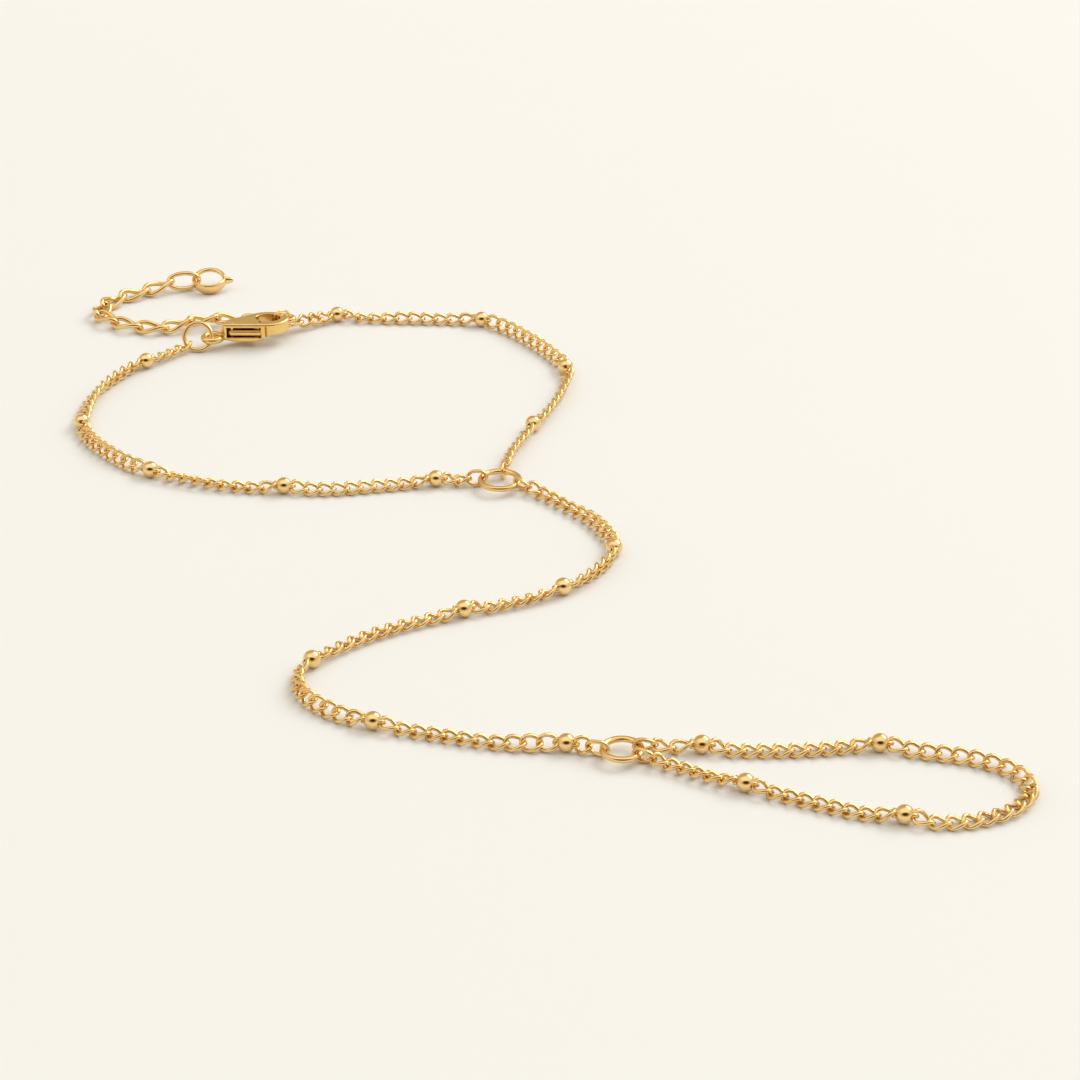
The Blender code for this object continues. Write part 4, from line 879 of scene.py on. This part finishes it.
centre = strand.point(strand.length)
angles = 2 * math.pi * (np.arange(RING_STEPS) + 0.5) / RING_STEPS
level = np.sin(angles) * math.cos(END_RING_TURN)
radial = np.stack([np.cos(angles), level, np.sin(angles) * math.sin(END_RING_TURN)], axis=1)
broad = np.clip((RIM_PAST - np.sin(angles)) / (1 + RIM_PAST), 0, 1) ** RIM_SWELL
tall = END_RING_WIRE / 2 + (RIM_BROAD - END_RING_WIRE) / 2 * broad
radii = np.stack([np.full(RING_STEPS, END_RING_WIRE / 2), tall], axis=1)
hoop = centre + END_RING_RADIUS * radial + RIM_LIFT * broad[:, None] * (0, 0, 1)
grid = wire_loop(hoop, radial, radii, RING_SIDES)
tail = tail_grid(centre + (END_RING_RADIUS, 0, 0))
tail_faces = loop_faces(TAIL_STEPS, TAIL_SIDES)
points = np.vstack([grid.reshape(-1, 3), tail.reshape(-1, 3)])
faces = np.vstack([loop_faces(RING_STEPS, RING_SIDES), tail_faces + RING_STEPS * RING_SIDES])
end_loop = mesh_object("end_loop", points + SHIFT, faces, ring_gold)
fine_piece(end_loop, "end_ring")

# The clasp's body
# A cast lobster clasp with a satin finish, with painted shade in its colour: darker deep in its slot, on
# its lever's bar and a little on the hook opening's wall. A slot for the lever opens in its front, its
# nose is an open hook that rises from below, and a round eye is cast on at the rear.
UNDERCUT = (4.2, 6.2)
SLOT_HEIGHT = 1.35
SLOT_START = 0.45
MOUTH_WIDTH = 0.9
MOUTH_END = 5.4
EYELET_DIAMETER = 3.0
EYELET_WIRE = 0.84
EYELET_OFFSET = (-1.35, 0.0, 0.55)
NECK_DEPTH = 1.15
PIN_RADIUS = 0.2
PIN_FIT = 0.008
PIVOT_WALL = 0.22
LEVER_SWING = 20
CAST_EDGE = 0.3
NECK_EDGE = 0.1
UNDERSIDE_EDGE = 0.25
OPENING_EDGE = 0.10
MOUTH_EDGE = 0.02
NOTCH_EDGE = 0.04
SLOT_EDGE = 0.09
EYE_FILLET = 0.14
NECK_FILLET = 0.12
MOUTH_SWING = 1.7
SLOT_SWING = 1.15
MOUTH_MARKS = 10
CAST_STEP = 0.065
KNUCKLE = PIN_RADIUS + FIT_GAP + PIVOT_WALL
KEEL_RISE = 0.3
KEEL_LOW = 2.4
KEEL_DEPTH = 0.2
NOTCH = 0.2
NOTCH_DROP = 0.42
MOUTH_START = MOUTH_END - MOUTH_WIDTH
PIVOT = (SLOT_START + FIT_GAP + KNUCKLE, FIT_GAP + KNUCKLE)


def outline_distance(x, y, corners):
    """Signed distance from a closed outline: to its nearest edge, and below zero inside it."""
    nearest = np.full(x.shape, np.inf)
    side = np.ones(x.shape)
    for (ax, ay), (bx, by) in zip(corners, np.roll(corners, 1, axis=0)):
        run_x, run_y = bx - ax, by - ay
        off_x, off_y = x - ax, y - ay
        share = np.clip((off_x * run_x + off_y * run_y) / (run_x * run_x + run_y * run_y), 0, 1)
        nearest = np.minimum(nearest, (off_x - run_x * share) ** 2 + (off_y - run_y * share) ** 2)
        above = y >= ay
        below = y < by
        left = run_x * off_y > run_y * off_x
        side = np.where((above & below & left) | (~above & ~below & ~left), -side, side)
    return side * np.sqrt(nearest)


def slab(flat, across, low, high, edge):
    """A block from low to high with a flat outline, whose edges are rounded to a radius."""
    outward = flat + edge
    upward = np.abs(across - (low + high) / 2) - (high - low) / 2 + edge
    corner = np.hypot(np.maximum(outward, 0), np.maximum(upward, 0))
    return corner + np.minimum(np.maximum(outward, upward), 0) - edge


def blend(first, second, width):
    """The smaller of two fields, with a fillet where they meet."""
    share = np.clip(0.5 + (second - first) / (2 * width), 0, 1)
    return second + (first - second) * share - width * share * (1 - share)


def pare(first, second, width):
    """The first field less the second, with a rounded edge where they meet."""
    return -blend(-first, second, width)


def cast_surface(field, low, high, step):
    """The surface where a field is zero, as quads.

    The box is cut into cells. Each cell that the surface passes through gets one corner point, and
    each grid edge that it crosses joins the four cells round that edge. The points are then moved
    along the field's slope by its own value, four times, which brings them onto the surface.
    """
    axes = [np.arange(a, b + step, step) for a, b in zip(low, high)]
    grid = np.stack(np.meshgrid(*axes, indexing="ij"), axis=-1)
    inside = (field(grid.reshape(-1, 3)) < 0).reshape(grid.shape[:3])
    total = sum(
        inside[i:inside.shape[0] - 1 + i, j:inside.shape[1] - 1 + j, k:inside.shape[2] - 1 + k].astype(int)
        for i in (0, 1) for j in (0, 1) for k in (0, 1)
    )
    crossed = (total > 0) & (total < 8)
    number = np.full(crossed.shape, -1)
    number[crossed] = np.arange(crossed.sum())
    points = grid[:-1, :-1, :-1][crossed] + step / 2
    faces = []
    for axis in range(3):
        change = np.diff(inside.astype(np.int8), axis=axis)
        spots = np.argwhere(change != 0)
        corners = []
        for u, v in ((-1, -1), (0, -1), (0, 0), (-1, 0)):
            cell = spots.copy()
            cell[:, (axis + 1) % 3] += u
            cell[:, (axis + 2) % 3] += v
            corners.append(number[tuple(cell.T)])
        quads = np.stack(corners, axis=1)
        inward = change[tuple(spots.T)] > 0
        quads[inward] = quads[inward][:, ::-1]
        faces.append(quads)
    reach = step / 8
    for _ in range(4):
        value = field(points)
        nudges = reach * np.eye(3)
        slope = np.stack([field(points + nudge) - field(points - nudge) for nudge in nudges], axis=1)
        slope /= 2 * reach
        size = np.maximum((slope ** 2).sum(1), 0.2)
        points = points - np.clip(value / size, -step, step)[:, None] * slope
    return points, np.vstack(faces)


def curved_outline():
    """The clasp's outline as a fine closed line through its marks, with its rear corner kept."""
    marks = clasp_outline()
    line = smooth_curve(np.hstack([marks[2:], np.zeros((len(marks) - 2, 2))]), 0.3)[:, :2]
    return np.vstack([marks[:2], line])


def slot_outline():
    """The slot from above: along the front, and slanting back as far as the lever swings."""
    depth = 2 * KNUCKLE + 2 * FIT_GAP
    slant = math.tan(math.radians(SLOT_SWING * LEVER_SWING))
    reach = MOUTH_START - FIT_GAP
    past = MOUTH_START + MOUTH_WIDTH / 3
    back = depth + (reach - PIVOT[0]) * slant
    return np.array([
        (SLOT_START, -1), (SLOT_START, depth), (PIVOT[0] + KNUCKLE, depth + 0.1), (reach, back),
        (past, depth), (past, -1),
    ])


def mouth_outline():
    """The hook's mouth from above, whose near wall follows the lever's swing."""
    turns = np.radians(np.linspace(0, MOUTH_SWING * LEVER_SWING, MOUTH_MARKS))
    reach = MOUTH_START - PIVOT[0]
    wall = np.stack([PIVOT[0] + reach * np.cos(turns), PIVOT[1] + reach * np.sin(turns)], axis=1)
    middle = hook_opening_centre()
    return np.vstack([[(MOUTH_START, -1)], wall, [(MOUTH_END, middle[1]), (MOUTH_END, -1)]])


def opening_distance(x, y):
    """How far a place lies outside the hook's oval opening: below zero inside it."""
    middle = hook_opening_centre()
    halves = (HOOK_OPENING_LENGTH / 2, HOOK_OPENING_WIDTH / 2)
    across = ((x - middle[0]) / halves[0], (y - middle[1]) / halves[1])
    ratio = np.hypot(*across)
    steep = np.hypot(across[0] / halves[0], across[1] / halves[1])
    return ratio * (ratio - 1) / np.maximum(steep, 0.01)


def clasp_block(x, y, z):
    """The outline's block with rounded edges, pared by the rising underside and by the opening."""
    block = slab(outline_distance(x, y, body_line), z, -KEEL_DEPTH, CLASP_HEIGHT, CAST_EDGE)
    rise = HOOK_UNDERCUT * eased((x - UNDERCUT[0]) / (UNDERCUT[1] - UNDERCUT[0]) * 0.9 + 0.05)
    rise += KEEL_RISE * np.clip((KEEL_LOW - x) / KEEL_LOW, 0, 1) ** 2
    rise -= KEEL_DEPTH * np.clip(1 - ((x - KEEL_LOW) / KEEL_LOW) ** 2, 0, 1)
    return pare(pare(block, (z - rise) * 0.9, UNDERSIDE_EDGE), opening_distance(x, y), OPENING_EDGE)


def clasp_field(points):
    """The clasp's body: the block with its eye and neck, less the mouth, the notch and the slot."""
    x, y, z = points.T
    ring_x, ring_y, ring_z = (points - EYELET_OFFSET).T
    round_line = np.hypot(ring_x, ring_y) - (EYELET_DIAMETER - EYELET_WIRE) / 2
    eyelet = np.hypot(round_line, ring_z) - EYELET_WIRE / 2
    neck = slab(outline_distance(x, z, neck_line), y, FIT_GAP, FIT_GAP + NECK_DEPTH, NECK_EDGE)
    body = blend(clasp_block(x, y, z), blend(eyelet, neck, EYE_FILLET), NECK_FILLET)
    body = pare(body, outline_distance(x, y, mouth_line), MOUTH_EDGE)
    notch = np.maximum((x + y - MOUTH_END - NOTCH) / math.sqrt(2), z - CLASP_HEIGHT + NOTCH_DROP)
    body = pare(body, np.maximum(notch, MOUTH_START - x), NOTCH_EDGE)
    slot = np.maximum(outline_distance(x, y, slot_line), np.abs(z - CLASP_HEIGHT / 2) - SLOT_HEIGHT / 2)
    body = pare(body, slot, SLOT_EDGE)
    bore = np.hypot(x - PIVOT[0], y - PIVOT[1]) - PIN_RADIUS - PIN_FIT
    return np.maximum(body, -bore)


def paint_shade(item, shares):
    """Keeps on each point its share of painted shade, for places where shade falls."""
    layer = item.data.attributes.new("painted_shade", "FLOAT", "POINT")
    layer.data.foreach_set("value", shares.astype(np.float32))


body_line = curved_outline()
mouth_line = mouth_outline()
slot_line = slot_outline()
hole_edge = EYELET_OFFSET[0] + EYELET_DIAMETER / 2 - EYELET_WIRE
eye_low = EYELET_OFFSET[2] - EYELET_WIRE / 2
eye_high = EYELET_OFFSET[2] + EYELET_WIRE / 2
neck_top = CLASP_HEIGHT - 0.1
neck_line = np.array([
    (hole_edge + 0.1, eye_low), (SLOT_START, eye_low), (SLOT_START, neck_top), (0.1, neck_top),
    (hole_edge + 0.2, eye_high),
])
SATIN_GOLD = (0.92, 0.635, 0.24)
SATIN_GOLD_WORN = (0.84, 0.55, 0.185)
# Painted shade: the dark brown that the satin gold is mixed towards where shade falls in the clasp's slot
# and opening.
PAINTED_SHADE_GOLD = (0.45, 0.20, 0.045)
SLOT_DARK = (0.05, 0.45)
OPENING_DARK = (0.12, 0.1)
WALL_DARK = (0.1, 0.9)
OPENING_SHARE = 0.22
satin_tones = (SATIN_GOLD, SATIN_GOLD_WORN)
satin_gold = gold_finish("satin cast gold", *satin_tones, (0.15, 0.28), 380.0, (7000.0, 0.003))
# Each point's painted shade share mixes the plain satin gold towards the painted shade colour.
painted_shade = {"attribute_name": "painted_shade"}
painted_shade_share = Field(satin_gold.node_tree).node("ShaderNodeAttribute", painted_shade, {}, output=2)
satin_shader = satin_gold.node_tree.nodes["Principled BSDF"]
plain_gold = Field(satin_gold.node_tree, satin_shader.inputs["Base Color"].links[0].from_socket)
feed(satin_shader, "Base Color", painted_shade_share.mix(plain_gold, PAINTED_SHADE_GOLD))
room = CAST_STEP * 2
points, faces = cast_surface(
    clasp_field,
    (EYELET_OFFSET[0] - EYELET_DIAMETER / 2 - room, -EYELET_DIAMETER / 2 - room, -KEEL_DEPTH - room),
    (CLASP_LENGTH + room, CLASP_BROAD + room, CLASP_HEIGHT + room),
    CAST_STEP,
)
clasp = mesh_object("lobster_clasp", points + CLASP_PLACE + SHIFT, faces, satin_gold)
# Painted shade on the clasp body: darker towards the back of the slot, and a little darker on the hook
# opening's wall below its top edge, where shade falls.
x, y, z = points.T
in_slot = np.abs(z - CLASP_HEIGHT / 2) < SLOT_HEIGHT / 2 + 0.02
in_slot &= (x > SLOT_START - 0.02) & (x < MOUTH_START + 0.4)
in_slot &= outline_distance(x, y, slot_line) < 0.05
depth_in_slot = eased((y - SLOT_DARK[0]) / SLOT_DARK[1]) * in_slot
in_opening = eased((OPENING_DARK[0] - opening_distance(x, y)) / OPENING_DARK[1])
in_opening *= eased((CLASP_HEIGHT - z - WALL_DARK[0]) / WALL_DARK[1])
paint_shade(clasp, np.maximum(depth_in_slot, OPENING_SHARE * in_opening))
fine_piece(clasp, "clasp_body")

# The lever
# The sprung lever lies in the slot and turns on the pin. Its bar is set back between the two plates, and
# its taller head closes the hook's mouth, with a small bevelled notch where it meets the hook's tip.
LEVER_BAR_HEIGHT = 0.86
LEVER_BAR_DROP = 0.13
LEVER_BAR_DEPTH = 0.8
LEVER_STEP = 0.05
HEAD_START = 4.75
SEAM = 0.006
BAR_EDGE = 0.38
HEAD_EDGE = 0.05
LEVER_DARK = (0.45, 0.4)


def lever_field(points):
    """A bar from the knuckle to a head, which is the block's own piece that fills the mouth."""
    x, y, z = points.T
    bar_low = (CLASP_HEIGHT - LEVER_BAR_HEIGHT) / 2 - LEVER_BAR_DROP
    bar = slab(outline_distance(x, y, bar_line), z, bar_low, bar_low + LEVER_BAR_HEIGHT, BAR_EDGE)
    from_pivot = np.hypot(x - PIVOT[0], y - PIVOT[1])
    straight_wall = MOUTH_START + SEAM - x
    swung_wall = MOUTH_START - PIVOT[0] + SEAM - from_pivot
    head = pare(clasp_block(x, y, z), -np.where(y < PIVOT[1], straight_wall, swung_wall), MOUTH_EDGE)
    straight_end = MOUTH_END - SEAM - x
    swung_end = MOUTH_END - SEAM - PIVOT[0] - from_pivot
    head = pare(head, np.where(y < PIVOT[1], swung_end, straight_end), MOUTH_EDGE)
    head = np.maximum(head, y - hook_opening_centre()[1])
    notch = np.maximum((MOUTH_END - SEAM - NOTCH + y - x) / math.sqrt(2), z - CLASP_HEIGHT + NOTCH_DROP)
    head = pare(head, notch, NOTCH_EDGE)
    cut = np.maximum(x - HEAD_START, np.abs(z - CLASP_HEIGHT / 2) - SLOT_HEIGHT / 2)
    head = pare(head, np.maximum(cut, y - bar_back), HEAD_EDGE)
    bore = from_pivot - PIN_RADIUS - PIN_FIT
    return np.maximum(blend(bar, head, HEAD_EDGE), -bore)


bar_front = FIT_GAP
bar_back = bar_front + LEVER_BAR_DEPTH
turns = np.radians(np.linspace(90, 270, 13))
knuckle_line = np.stack([PIVOT[0] + KNUCKLE * np.cos(turns), PIVOT[1] + KNUCKLE * np.sin(turns)], axis=1)
bar_line = np.vstack([knuckle_line, [(HEAD_START + 0.2, bar_front), (HEAD_START + 0.2, bar_back)]])
lever_high = (MOUTH_END + 0.2, 2.4, CLASP_HEIGHT + 0.2)
points, faces = cast_surface(lever_field, (0.3, -0.2, -0.4), lever_high, LEVER_STEP)
lever = mesh_object("clasp_gate", points + CLASP_PLACE + SHIFT, faces, satin_gold)
# Painted shade on the lever's bar: darker towards its back inside the slot, where shade falls.
paint_shade(lever, eased((points[:, 1] - LEVER_DARK[0]) / LEVER_DARK[1]) * (points[:, 0] < HEAD_START))
fine_piece(lever, "clasp_lever", "lever")

# The pivot pin
# A plain pin pressed through both plates and filed flush, so that it hardly shows.
PIN_AROUND = 32
PIN_TOP = CLASP_HEIGHT - 0.005
pin_profile = np.array([(0.05, 0.0005), (0.05, 0.17), (0.08, PIN_RADIUS), (PIN_TOP - 0.02, PIN_RADIUS),
                        (PIN_TOP, PIN_RADIUS - 0.02), (PIN_TOP, 0.0005)])
turns = 2 * math.pi * np.arange(PIN_AROUND) / PIN_AROUND
x = PIVOT[0] + pin_profile[:, 1:] * np.cos(turns)
y = PIVOT[1] + pin_profile[:, 1:] * np.sin(turns)
z = np.broadcast_to(pin_profile[:, :1], x.shape)
grid = np.stack([x, y, z], axis=-1)
pin_faces = loop_faces(len(pin_profile), PIN_AROUND)
pin = mesh_object("gate_pin", grid + CLASP_PLACE + SHIFT, pin_faces, satin_gold)
pin.data.set_sharp_from_angle(angle=math.radians(50))
fine_piece(pin, "clasp_pin")
